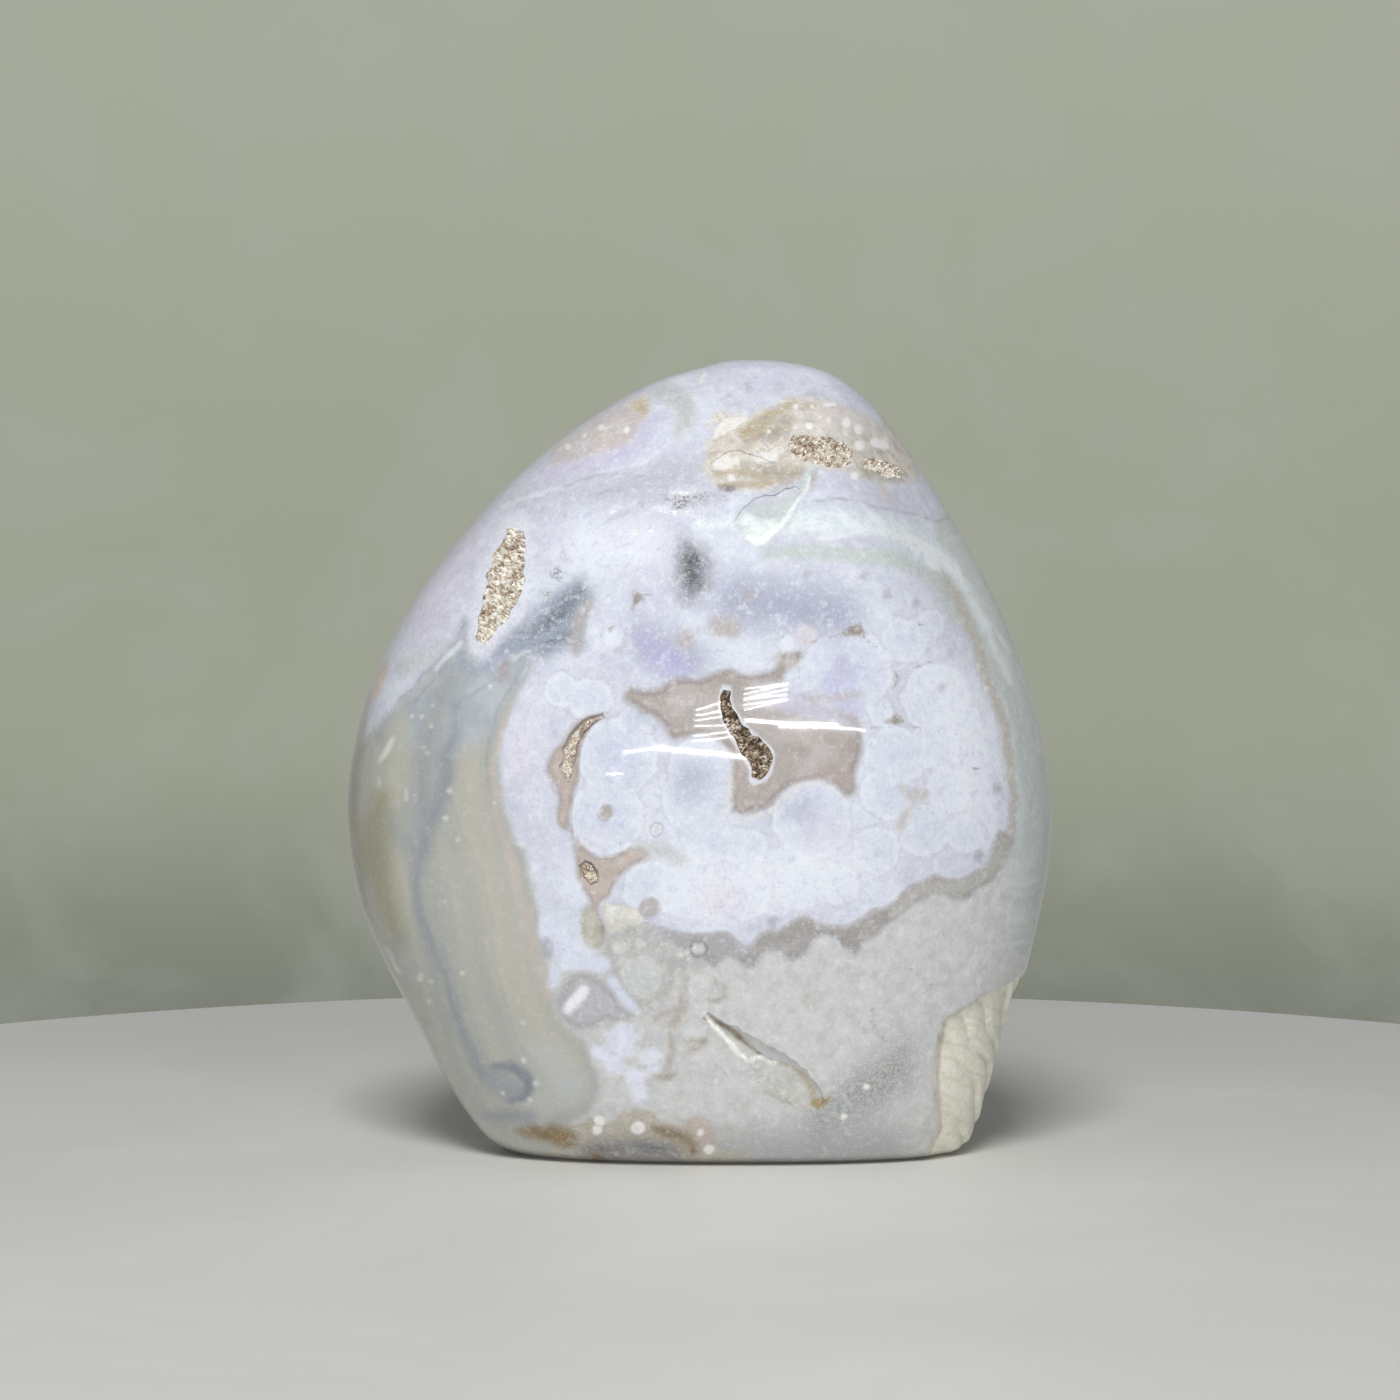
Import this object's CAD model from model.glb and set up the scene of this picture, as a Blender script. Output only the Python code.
"""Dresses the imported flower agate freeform: its banded stone, its druses and a plain studio.

The stone is the model's own body made finer, with its pattern laid through it. The pattern is drawn
as marks in pixels of the photograph, a square of 1400, which a pinhole view carries onto the face.
Each mark is a distance, so an edge stays sharp and never turns into a picture. Behind the middle the
marks are carried on through the stone and folded more and more. Sizes are millimetres unless a name
says pixels, and MM turns them into the frame's metres.
"""

import logging
import math
from dataclasses import dataclass, field
from enum import Enum
from typing import Any, Optional

import bmesh
import bpy
import numpy as np
from mathutils import Matrix, Vector, noise
from mathutils.bvhtree import BVHTree


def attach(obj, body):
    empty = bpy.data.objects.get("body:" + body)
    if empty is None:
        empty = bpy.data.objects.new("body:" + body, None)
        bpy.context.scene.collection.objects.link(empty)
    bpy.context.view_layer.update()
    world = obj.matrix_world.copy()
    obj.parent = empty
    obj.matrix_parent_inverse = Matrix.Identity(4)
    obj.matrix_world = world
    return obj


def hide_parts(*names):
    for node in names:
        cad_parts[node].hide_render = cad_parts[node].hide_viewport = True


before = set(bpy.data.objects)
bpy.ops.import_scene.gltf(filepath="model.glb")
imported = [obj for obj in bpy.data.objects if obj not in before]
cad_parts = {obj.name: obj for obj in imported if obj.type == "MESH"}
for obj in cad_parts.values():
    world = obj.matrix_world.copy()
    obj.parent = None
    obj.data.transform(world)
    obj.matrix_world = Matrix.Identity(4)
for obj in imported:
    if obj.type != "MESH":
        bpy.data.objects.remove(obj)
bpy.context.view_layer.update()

log = logging.getLogger("flower_agate")

MM = 0.001
Socket = bpy.types.NodeSocket
Colour = tuple[float, float, float]


def srgb(colour: Colour) -> tuple[float, float, float, float]:
    """A display colour out of 255 as the linear values that shaders take."""
    parts = []
    for part in colour:
        share = part / 255
        parts.append(share / 12.92 if share <= 0.04045 else ((share + 0.055) / 1.055) ** 2.4)
    return (*parts, 1.0)


def smooth_step(low: float, high: float, value: np.ndarray) -> np.ndarray:
    """0 below low, 1 above high, with soft ends between."""
    share = np.clip((value - low) / (high - low), 0, 1)
    return share * share * (3 - 2 * share)


def smooth_curve(points: list, steps: int) -> np.ndarray:
    """Points along the smooth curve that passes through the given ones.

    Args:
        points: the given points, of any number of coordinates.
        steps: samples between two given points.

    Returns:
        One row for each sample, ending in the last given point.
    """
    given = np.array(points, float)
    padded = np.vstack([2 * given[0] - given[1], given, 2 * given[-1] - given[-2]])
    along = np.linspace(0, 1, steps, endpoint=False)[:, None]
    spans = []
    for before, start, end, after in zip(padded, padded[1:], padded[2:], padded[3:]):
        leave = (end - before) / 2
        arrive = (after - start) / 2
        cubic = 2 * (start - end) + leave + arrive
        square = 3 * (end - start) - 2 * leave - arrive
        spans.append(((cubic * along + square) * along + leave) * along + start)
    return np.vstack(spans + [given[-1:]])


def noise_at(points: np.ndarray, scale: float) -> np.ndarray:
    """Smooth noise vectors at the points, each part between about -1 and 1."""
    return np.array([noise.noise_vector(Vector(point) * scale) for point in points])


class Polish(Enum):
    """How smooth a part of the surface is, as the shader's roughness."""

    WHEEL = 0.07
    DULL = 0.3
    CHALK = 0.6
    BROKEN = 0.45


@dataclass(frozen=True)
class PhotoView:
    """The view that the photograph was taken from."""

    side: float = 1400.0
    focal: float = 3101.0
    tilt: float = 1.16
    place: tuple = (0.0, -350.0, 58.0)
    sensor: float = 36.0

    def pixels(self, points: np.ndarray) -> np.ndarray:
        """Where points of the frame show in the photograph.

        Args:
            points: one row of millimetres for each point.

        Returns:
            One row (across, down) of pixels for each point.
        """
        way = points - np.array(self.place)
        lean = math.radians(self.tilt)
        ahead = way[:, 1] * math.cos(lean) - way[:, 2] * math.sin(lean)
        rise = way[:, 1] * math.sin(lean) + way[:, 2] * math.cos(lean)
        middle = self.side / 2
        return np.stack([middle + self.focal * way[:, 0] / ahead, middle - self.focal * rise / ahead], axis=1)

    def ray(self, pixel: tuple) -> Vector:
        """The direction from the lens through a pixel."""
        lean = math.radians(self.tilt)
        across, rise = pixel[0] - self.side / 2, self.side / 2 - pixel[1]
        ahead = self.focal * math.cos(lean) + rise * math.sin(lean)
        return Vector((across, ahead, rise * math.cos(lean) - self.focal * math.sin(lean))).normalized()

    def make_camera(self) -> bpy.types.Object:
        """Stands the scene's camera at this view."""
        lens = bpy.data.cameras.new("camera")
        lens.sensor_width = self.sensor
        lens.lens = self.focal / self.side * self.sensor
        lens.clip_start = 0.01
        camera = bpy.data.objects.new("camera", lens)
        camera.location = Vector(self.place) * MM
        camera.rotation_euler = (math.radians(90 - self.tilt), 0.0, 0.0)
        bpy.context.scene.collection.objects.link(camera)
        bpy.context.scene.camera = camera
        return camera


# The stone's outline from the front as (across, up), and its bulges as (up, out)
OUTLINE = [
    (-20.2, 0.0), (-22.2, 0.45), (-24.5, 2.0), (-27.3, 5.9), (-30.3, 11.4), (-33.0, 16.8),
    (-35.8, 22.3), (-38.2, 28.4), (-39.5, 35.6), (-39.5, 41.9), (-37.7, 50.5), (-34.6, 57.8),
    (-30.6, 64.5), (-25.3, 71.2), (-20.5, 76.2), (-14.2, 81.4), (-6.3, 86.2), (-0.1, 88.3),
    (4.6, 89.3), (10.3, 88.9), (15.1, 87.6), (19.4, 84.6), (22.8, 80.6), (26.2, 75.7),
    (29.5, 70.3), (32.8, 63.9), (35.4, 57.4), (37.4, 51.1), (38.8, 44.6), (39.5, 38.2),
    (39.2, 32.6), (38.1, 26.6), (36.9, 21.4), (35.3, 16.2), (34.0, 11.2), (32.7, 6.4),
    (31.5, 2.6), (30.2, 0.6), (28.2, 0.0),
]
FACE_BULGE = [
    (0.0, 9.1), (0.5, 10.5), (2.0, 12.4), (6.0, 15.4), (13.0, 18.4), (23.0, 21.4), (35.0, 23.4),
    (47.0, 24.0), (57.0, 23.2), (65.0, 21.3), (71.0, 18.8), (77.0, 14.7), (83.0, 9.7),
    (87.2, 5.1), (88.4, 3.4), (89.05, 1.7), (89.3, 0.0),
]
BACK_BULGE = [
    (0.0, 9.6), (0.5, 10.9), (2.0, 12.8), (6.0, 16.0), (13.0, 19.3), (23.0, 22.6), (35.0, 24.2),
    (47.0, 23.7), (57.0, 21.6), (65.0, 18.6), (71.0, 15.7), (77.0, 12.2), (83.0, 8.2),
    (87.2, 4.6), (88.4, 3.1), (89.05, 1.6), (89.3, 0.0),
]
WHEEL_FLATS = [
    ((26.7, 0.0, 76.2), (0.7, -0.5, 0.48)),
    ((-24.0, 11.5, 73.0), (-0.42, 0.62, 0.66)),
    ((28.0, 13.0, 59.0), (0.72, 0.62, 0.3)),
    ((-30.0, 15.5, 21.0), (-0.62, 0.74, -0.26)),
]
RIND_EDGE = [(25.2, 0.0), (26.6, 4.0), (25.9, 10.0), (26.5, 16.2), (31.0, 18.8), (42.0, 22.0)]


@dataclass(frozen=True)
class Body:
    """The stone's form: level sections between an outline and two bulges, ground and worn."""

    height: float = 89.3
    squareness: float = 2.35
    flat_blend: float = 1.1
    foot_top: float = 20.0
    foot_levels: int = 66
    upper_levels: int = 176
    face_turns: int = 232
    back_turns: int = 112
    crown_cap: float = 0.03
    base_shares: tuple = (0.94, 0.84, 0.72, 0.59, 0.46, 0.33, 0.2, 0.09)
    span_steps: int = 16
    rind_back: float = 9.0
    rind_step: float = 1.2
    rind_depth: float = 0.45
    rind_sway: tuple = (0.7, 6.0, 4.5)
    rind_sway_scale: float = 0.22
    terrace_rise: float = 0.55
    terrace_pitch: float = 4.2
    terrace_lean: float = 0.55
    terrace_sway: float = 2.4
    terrace_sway_scale: float = 0.16

    def levels(self) -> np.ndarray:
        """Heights of the mesh's rings, from the base to just under the crown."""
        foot = np.linspace(0, self.foot_top, self.foot_levels, endpoint=False)
        rise = np.sin(np.linspace(0, math.pi / 2 - self.crown_cap, self.upper_levels))
        return np.concatenate([foot, self.foot_top + (self.height - self.foot_top) * rise])

    def turns(self) -> np.ndarray:
        """Turns of the mesh's upright edges, closest together across the face."""
        back = np.linspace(0, math.pi, self.back_turns, endpoint=False)
        face = np.linspace(math.pi, 2 * math.pi, self.face_turns, endpoint=False)
        return np.concatenate([back, face])

    def sections(self, up: np.ndarray, turn: np.ndarray) -> np.ndarray:
        """Points of the body before grinding.

        Args:
            up: heights.
            turn: turns, 0 at the right end and a quarter at the back.

        Returns:
            An array of heights by turns by three coordinates.
        """
        curve = smooth_curve(OUTLINE, self.span_steps)
        crown = int(curve[:, 1].argmax())
        left, right = curve[: crown + 1], curve[crown:][::-1]
        ends = [
            np.interp(up, np.maximum.accumulate(side[:, 1]), side[:, 0])[:, None] for side in (left, right)
        ]
        bulges = [
            np.interp(up, *smooth_curve(side, self.span_steps).T)[:, None]
            for side in (BACK_BULGE, FACE_BULGE)
        ]
        across, deep = np.cos(turn)[None], np.sin(turn)[None]
        power = 2 / self.squareness
        reach = (ends[1] - ends[0]) / 2 * np.sign(across) * np.abs(across) ** power
        bulge = np.where(deep > 0, *bulges) * np.sign(deep) * np.abs(deep) ** power
        middle = (ends[0] + ends[1]) / 2
        return np.stack([middle + reach, bulge, np.broadcast_to(up[:, None], bulge.shape)], axis=-1)

    def ground(self, points: np.ndarray) -> np.ndarray:
        """The points once every flat is ground, each blending softly into the body round it."""
        for centre, outward in WHEEL_FLATS:
            way = np.array(outward) / np.linalg.norm(outward)
            proud = (points - np.array(centre)) @ way / self.flat_blend
            points = points - (self.flat_blend * np.logaddexp(0.0, proud))[..., None] * way
        return points

    def rind_share(self, points: np.ndarray) -> np.ndarray:
        """1 on the rind and 0 on the polished stone, with a narrow step between them."""
        across, deep, up = points.T
        free = smooth_step(-9.0, 6.0, deep)
        sway = noise_at(points, self.rind_sway_scale).T * np.array(self.rind_sway)[:, None]
        border = np.interp(up + sway[2] * free, [z for _, z in RIND_EDGE], [x for x, _ in RIND_EDGE])
        inside = np.minimum(across - border + sway[0] * free, self.rind_back - deep + sway[1])
        return np.clip(inside / self.rind_step + 0.5, 0, 1)

    def worn(self, points: np.ndarray) -> np.ndarray:
        """The points with the rind's terraces taken off towards the upright middle line."""
        share = self.rind_share(points)
        bare = share > 0
        across, deep, up = points[bare].T
        sway = [noise.noise(Vector(point) * self.terrace_sway_scale) for point in points[bare]]
        phase = up + self.terrace_lean * (across + deep) + np.array(sway) * self.terrace_sway
        step = phase / self.terrace_pitch % 1.0
        drop = share[bare] * (self.rind_depth + self.terrace_rise * step * step)
        level = points[bare] * (1.0, 1.0, 0.0)
        made = points.copy()
        made[bare] -= level / np.linalg.norm(level, axis=1)[:, None] * drop[:, None]
        return made

    def mesh(self) -> bpy.types.Mesh:
        """The stone before its hollows are cut, as one closed mesh."""
        ups, turns = self.levels(), self.turns()
        rings = self.ground(self.sections(ups, turns))
        count = len(turns)
        points = self.worn(rings.reshape(-1, 3))
        points[:count, 2] = 0.0
        top = self.ground(self.sections(np.array([self.height]), turns[:1])).reshape(-1, 3)
        foot = points[:count].mean(0)
        base = [foot + share * (points[:count] - foot) for share in self.base_shares[::-1]]
        rows = [foot[None], *base, points, top]
        rings = len(base) + len(ups)
        faces = []
        for here in range(count):
            there = (here + 1) % count
            faces.append((0, 1 + there, 1 + here))
            for ring in range(rings - 1):
                low, high = 1 + ring * count, 1 + (ring + 1) * count
                faces.append((low + here, low + there, high + there, high + here))
            last = 1 + (rings - 1) * count
            faces.append((last + here, last + there, 1 + rings * count))
        mesh = bpy.data.meshes.new("stone_body")
        mesh.from_pydata((np.vstack(rows) * MM).tolist(), [], faces)
        mesh.update()
        return mesh


@dataclass(frozen=True)
class Hollow:
    """A hollow in the face, as its middle line of (across, up, half width) and its depth."""

    name: str
    middle: list
    depth: float
    crystal: float = 0.0
    tone: float = 0.5
    bed: float = 0.4
    spacing: float = 0.3
    halo: float = 0.0
    inset: float = 0.02


SLIT_VUG = [
    (2.8, 52.4, 0.4), (2.7, 50.8, 0.6), (3.6, 48.7, 0.85), (4.8, 47.1, 1.05), (6.1, 45.7, 1.35),
    (6.4, 44.3, 1.1), (5.9, 43.1, 0.5),
]
SHOULDER_VUG = [
    (-19.7, 69.6, 0.7), (-20.2, 67.7, 1.5), (-20.7, 65.2, 2.0), (-21.1, 63.1, 2.0),
    (-21.8, 61.1, 1.65), (-22.7, 59.3, 1.1), (-23.4, 57.5, 0.65),
]
CRESCENT_VUG = [
    (-10.1, 49.8, 0.4), (-11.6, 49.0, 0.55), (-12.9, 47.7, 0.75), (-13.6, 46.1, 0.85),
    (-14.0, 44.2, 0.85), (-14.0, 42.5, 0.5),
]
POCKET_VUG = [(-12.5, 34.2, 0.6), (-11.7, 33.2, 0.95), (-11.1, 31.9, 0.6)]
CROWN_VUG = [
    (9.8, 79.3, 0.8), (11.5, 78.5, 1.5), (13.5, 78.1, 1.65), (15.2, 77.8, 1.4), (16.5, 77.5, 0.7),
]
RIDGE_VUG = [(17.9, 77.0, 0.5), (19.2, 76.8, 0.9), (20.8, 76.4, 0.9), (22.2, 75.9, 0.5)]
CROWN_BREAK = [(1.3, 75.3, 1.1), (3.4, 76.2, 1.85), (5.8, 76.2, 1.6), (8.0, 76.0, 0.8)]
CHIP = [(4.4, 69.2, 0.9), (5.5, 70.3, 1.8), (7.5, 71.4, 1.9), (9.4, 72.8, 1.1), (10.6, 74.0, 0.4)]
SPLIT = [
    (0.5, 17.7, 0.4), (2.9, 15.9, 0.85), (5.6, 13.8, 1.4), (8.6, 11.5, 1.7), (11.1, 9.0, 1.9),
    (13.0, 7.3, 1.0),
]
HOLLOWS = [
    Hollow("slit_vug", SLIT_VUG, 3.2, crystal=0.3, tone=0.46, bed=0.5, spacing=0.25, halo=0.4),
    Hollow("shoulder_vug", SHOULDER_VUG, 3.4, crystal=0.42, tone=0.98, bed=0.32, spacing=0.34, halo=1.5),
    Hollow("crescent_vug", CRESCENT_VUG, 0.55, crystal=0.17, tone=0.84, bed=0.6, spacing=0.22, inset=0.35),
    Hollow("pocket_vug", POCKET_VUG, 0.7, crystal=0.17, tone=0.72, bed=0.6, spacing=0.22, inset=0.3),
    Hollow("crown_vug", CROWN_VUG, 2.0, crystal=0.3, tone=0.88, bed=0.3, spacing=0.27),
    Hollow("ridge_vug", RIDGE_VUG, 1.6, crystal=0.26, tone=0.94, bed=0.3, spacing=0.25),
    Hollow("crown_break", CROWN_BREAK, 0.3),
    Hollow("chip", CHIP, 0.3),
    Hollow("split", SPLIT, 0.7),
]


@dataclass(frozen=True)
class Quarry:
    """How hollows are cut into the face: the cells of a cutter and how ragged its edge is."""

    cell: float = 0.3
    least_wall: float = 0.4
    least_half: float = 0.1
    cutter_reach: float = 1.5
    span_steps: int = 16
    ragged: float = 0.42
    ragged_scale: float = 1.1
    floor_relief: float = 0.14

    def bowl(self, along: float, across: float) -> float:
        """Depth of a hollow as a share of its deepest, from its ends and its long sides."""
        ends = math.sin(math.pi * along) ** 0.5 if 0 < along < 1 else 0.0
        sides = math.sqrt(max(1 - across * across, 0.0))
        return self.least_wall + (1 - self.least_wall) * ends * sides

    def lines(self, hollow: Hollow, inset: float) -> list:
        """Places across the face, line by line, that cover a hollow less an inset all round it.

        Args:
            hollow: the hollow to cover.
            inset: how far inside its edge the cover ends.

        Returns:
            Lines of (share along, share across, place), where a place is (across, up).
        """
        curve = smooth_curve(hollow.middle, self.span_steps)
        lengths = np.linalg.norm(np.diff(curve[:, :2], axis=0), axis=1)
        covered = np.concatenate([[0.0], np.cumsum(lengths)])
        steps = max(int(covered[-1] / self.cell), 6)
        rows = max(int(2 * curve[:, 2].max() / self.cell), 4)
        stops = np.linspace(inset, covered[-1] - inset, steps + 1)
        curve = np.stack([np.interp(stops, covered, column) for column in curve.T], axis=1)
        run = np.gradient(curve[:, :2], axis=0)
        side = np.stack([-run[:, 1], run[:, 0]], axis=1) / np.linalg.norm(run, axis=1)[:, None]
        made = []
        for step, (middle, half) in enumerate(zip(curve[:, :2], curve[:, 2])):
            line = []
            for row in range(rows + 1):
                share = 2 * row / rows - 1
                edge = noise.noise(Vector((*middle, 3.0 * math.copysign(1, share))) * self.ragged_scale)
                reach = max(half - inset + edge * self.ragged * min(half, 1.0), self.least_half)
                line.append((step / steps, share, middle + side[step] * share * reach))
            made.append(line)
        return made

    def between(self, lines: list, outer: Any, inner: Any) -> bmesh.types.BMesh:
        """A closed body between two sheets over a strip of the face.

        Args:
            lines: the places that the sheets cover.
            outer: gives the near sheet's depth from a line's entry.
            inner: gives the far sheet's depth in the same way.

        Returns:
            The body, in metres, with its faces pointing out.
        """
        mesh = bmesh.new()
        sheets = []
        for sheet in (outer, inner):
            rows = [[(entry[2][0], sheet(*entry), entry[2][1]) for entry in line] for line in lines]
            sheets.append([[mesh.verts.new(Vector(point) * MM) for point in row] for row in rows])
        top, bottom = sheets
        steps, rows = len(lines) - 1, len(lines[0]) - 1
        for i in range(steps):
            for j in range(rows):
                corners = [(i, j), (i + 1, j), (i + 1, j + 1), (i, j + 1)]
                mesh.faces.new([top[a][b] for a, b in corners])
                mesh.faces.new([bottom[a][b] for a, b in reversed(corners)])
        rim = [(i, 0) for i in range(steps)] + [(steps, j) for j in range(rows)]
        rim += [(i, rows) for i in range(steps, 0, -1)] + [(0, j) for j in range(rows, 0, -1)]
        for (a, b), (c, d) in zip(rim, rim[1:] + rim[:1]):
            mesh.faces.new((top[c][d], top[a][b], bottom[a][b], bottom[c][d]))
        bmesh.ops.recalc_face_normals(mesh, faces=mesh.faces)
        return mesh

    def floor_of(self, tree: BVHTree, hollow: Hollow, entry: tuple) -> float:
        """How deep the hollow's wall or floor lies at an entry of its lines."""
        along, across, place = entry
        relief = noise.noise(Vector((*place, 7.0)) * self.ragged_scale) * self.floor_relief
        return front(tree, place) + hollow.depth * self.bowl(along, across) * (1 + relief)

    def cutter(self, tree: BVHTree, hollow: Hollow) -> bpy.types.Object:
        """The body whose shape is taken out of the stone for one hollow."""

        def outer(along: float, across: float, place: np.ndarray) -> float:
            """The cutter's near sheet, clear in front of the face."""
            return front(tree, place) - self.cutter_reach

        def inner(along: float, across: float, place: np.ndarray) -> float:
            """The hollow's floor."""
            return self.floor_of(tree, hollow, (along, across, place))

        return to_object(f"{hollow.name}_cutter", self.between(self.lines(hollow, 0.0), outer, inner))


def front(tree: BVHTree, place: np.ndarray) -> float:
    """How deep the stone's face lies at a place (across, up)."""
    start = Vector((place[0] * MM, -100 * MM, place[1] * MM))
    return tree.ray_cast(start, Vector((0, 1, 0)))[0].y / MM


def to_object(name: str, mesh: bmesh.types.BMesh) -> bpy.types.Object:
    """Links a bmesh to the scene as an object."""
    data = bpy.data.meshes.new(name)
    mesh.to_mesh(data)
    mesh.free()
    made = bpy.data.objects.new(name, data)
    bpy.context.scene.collection.objects.link(made)
    return made


def settle(thing: bpy.types.Object) -> None:
    """Turns an object's modifiers into plain mesh and removes them."""
    graph = bpy.context.evaluated_depsgraph_get()
    made = bpy.data.meshes.new_from_object(
        thing.evaluated_get(graph), preserve_all_data_layers=True, depsgraph=graph
    )
    thing.modifiers.clear()
    thing.data = made


FAR = 90.0  # pixels from a mark past which it is no longer measured


@dataclass(frozen=True)
class Stroke:
    """A brush mark in photo pixels, as (across, down, half width) along its middle."""

    path: tuple

    def distance(self, pixels: np.ndarray, reach: float = FAR) -> np.ndarray:
        """Distance of every pixel to the mark's edge, below 0 inside it and no more than reach."""
        points = np.array(self.path, float)
        if len(points) > 2:
            points = smooth_curve(self.path, 4)
        if len(points) == 1:
            points = np.vstack([points, points])
        low = points[:, :2].min(0) - reach
        high = points[:, :2].max(0) + reach
        near = np.all((pixels > low) & (pixels < high), axis=1)
        spots = pixels[near]
        best = np.full(len(spots), reach)
        for start, end in zip(points, points[1:]):
            run = end[:2] - start[:2]
            along = np.clip((spots - start[:2]) @ run / max(run @ run, 1e-9), 0, 1)
            gap = np.linalg.norm(spots - start[:2] - along[:, None] * run, axis=1)
            best = np.minimum(best, gap - start[2] - along * (end[2] - start[2]))
        made = np.full(len(pixels), reach)
        made[near] = best
        return made


@dataclass(frozen=True)
class Patch:
    """A closed area in photo pixels, rounded between the given corners."""

    outline: tuple
    steps: int = 4

    def distance(self, pixels: np.ndarray) -> np.ndarray:
        """Distance of every pixel to the area's edge, below 0 inside it."""
        ring = smooth_curve((*self.outline, self.outline[0]), self.steps)
        near = np.all((pixels > ring.min(0) - FAR) & (pixels < ring.max(0) + FAR), axis=1)
        spots = pixels[near]
        best = np.full(len(spots), FAR)
        inside = np.zeros(len(spots), bool)
        for start, end in zip(ring, ring[1:]):
            run = end - start
            along = np.clip((spots - start) @ run / max(run @ run, 1e-9), 0, 1)
            best = np.minimum(best, np.linalg.norm(spots - start - along[:, None] * run, axis=1))
            if start[1] != end[1]:
                level = (start[1] > spots[:, 1]) != (end[1] > spots[:, 1])
                crossing = start[0] + (spots[:, 1] - start[1]) / run[1] * run[0]
                inside ^= level & (spots[:, 0] < crossing)
        made = np.full(len(pixels), FAR)
        made[near] = np.where(inside, -best, best)
        return made


def strokes(half: float, *paths: tuple) -> tuple:
    """Brush marks of one half width along the given paths of (across, down)."""
    return tuple(Stroke(tuple((x, y, half) for x, y in path)) for path in paths)


def dots(*places: tuple) -> tuple:
    """Round marks from (across, down, radius)."""
    return tuple(Stroke((place,)) for place in places)


def brush(*paths: tuple) -> tuple:
    """Brush marks along paths of (across, down, half width)."""
    return tuple(Stroke(path) for path in paths)


class Grain(Enum):
    """The textures that thin a mark or turn it to its second colour."""

    CLOUD = "cloud"
    HAZE = "haze"
    STREAK = "streak"
    SPECKLE = "speckle"
    CELLS = "cells"


@dataclass(frozen=True)
class Layer:
    """One colour of the pattern: where it lies, how its edge fades and how it is mottled."""

    name: str
    marks: tuple
    colour: Colour
    second: Optional[Colour] = None
    grain: Grain = Grain.CLOUD
    soft: float = 3.0
    wobble: float = 1.5
    opacity: float = 1.0
    rim: Optional[Colour] = None
    rim_width: float = 3.0
    polish: Optional[Polish] = None


BAND_TOP = (
    (654, 926), (664, 929), (682, 934), (700, 934), (717, 933), (729, 936), (745, 948), (754, 945),
    (760, 934), (772, 931), (785, 928), (801, 918), (815, 922), (828, 924), (843, 926), (858, 922),
    (874, 910), (885, 908), (895, 901), (906, 890), (917, 883), (927, 880), (936, 875), (948, 880),
    (962, 879), (976, 871), (991, 861), (993, 846), (999, 832),
)
BAND_BOTTOM = (
    (1014, 838), (1007, 856), (1001, 869), (990, 884), (978, 890), (969, 898), (955, 900), (944, 896),
    (932, 896), (924, 903), (913, 904), (905, 912), (894, 922), (884, 927), (875, 937), (866, 942),
    (860, 953), (851, 957), (844, 951), (838, 944), (828, 936), (816, 938), (809, 946), (806, 954),
    (796, 961), (786, 960), (778, 953), (766, 952), (760, 961), (757, 971), (747, 969), (738, 962),
    (724, 956), (717, 969), (707, 963), (697, 957), (684, 951), (672, 944), (662, 936),
)
STRIP_EDGE = (
    (470, 668), (486, 673), (503, 662), (516, 652), (527, 652), (531, 664), (527, 676), (520, 691),
    (513, 706), (507, 722), (503, 740), (500, 756), (501, 774), (502, 792), (505, 808), (512, 826),
    (517, 841), (525, 853), (531, 878), (536, 900), (540, 920), (541, 934), (545, 962), (549, 984),
    (556, 1000), (558, 1012), (566, 1025), (580, 1034), (592, 1048), (598, 1068), (601, 1090),
    (590, 1116), (568, 1128),
)
GAP = (
    (607, 711), (589, 714), (576, 721), (569, 731), (562, 741), (556, 746), (550, 754), (546, 766),
    (550, 777), (556, 786), (558, 800), (557, 820), (563, 829), (572, 833), (574, 846), (574, 862),
    (577, 875), (585, 891), (591, 906), (583, 915), (582, 930), (586, 944), (597, 948), (605, 942),
    (606, 930), (601, 915), (600, 903), (609, 896), (613, 886), (621, 876), (633, 865), (648, 861),
    (648, 850), (633, 848),
    (623, 853), (608, 857), (593, 855), (578, 840), (571, 826), (570, 809), (572, 796), (577, 784),
    (580, 776), (579, 767), (579, 752), (582, 739), (589, 726), (600, 718),
)
GAP_LINE = (
    (606, 712), (597, 720), (589, 726), (582, 739), (579, 752), (579, 767), (580, 776), (577, 784),
    (572, 796), (570, 809), (571, 826), (578, 840), (593, 855), (608, 857), (623, 853), (633, 848),
)
WINDOW = (
    (623, 701), (631, 688), (640, 690), (651, 692), (662, 687), (673, 681), (682, 676), (690, 679),
    (702, 680), (712, 675), (720, 670), (732, 668), (742, 673), (752, 674), (764, 672), (774, 668),
    (779, 661), (780, 652), (794, 652), (803, 653), (799, 662), (789, 668), (782, 680), (786, 692),
    (796, 699), (804, 698), (811, 700), (820, 707), (830, 710), (845, 713), (858, 722), (863, 742),
    (858, 760), (854, 776), (856, 792), (846, 796), (836, 786), (820, 779), (804, 781), (789, 787),
    (778, 796), (774, 804), (766, 807), (752, 811), (740, 814), (732, 811), (732, 791), (734, 776),
    (732, 762), (727, 748), (716, 739), (700, 736), (685, 737), (671, 738), (665, 727), (657, 719),
    (648, 713), (636, 706),
)
CROWN_TAN = (
    (704, 452), (712, 436), (730, 428), (745, 418), (765, 408), (790, 398), (815, 398), (840, 406),
    (865, 418), (886, 430), (902, 443), (914, 460), (920, 478), (905, 482), (870, 479), (850, 472),
    (835, 471), (820, 467), (813, 474), (810, 489), (790, 492), (760, 492), (735, 490), (715, 485),
    (704, 470),
)
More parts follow.
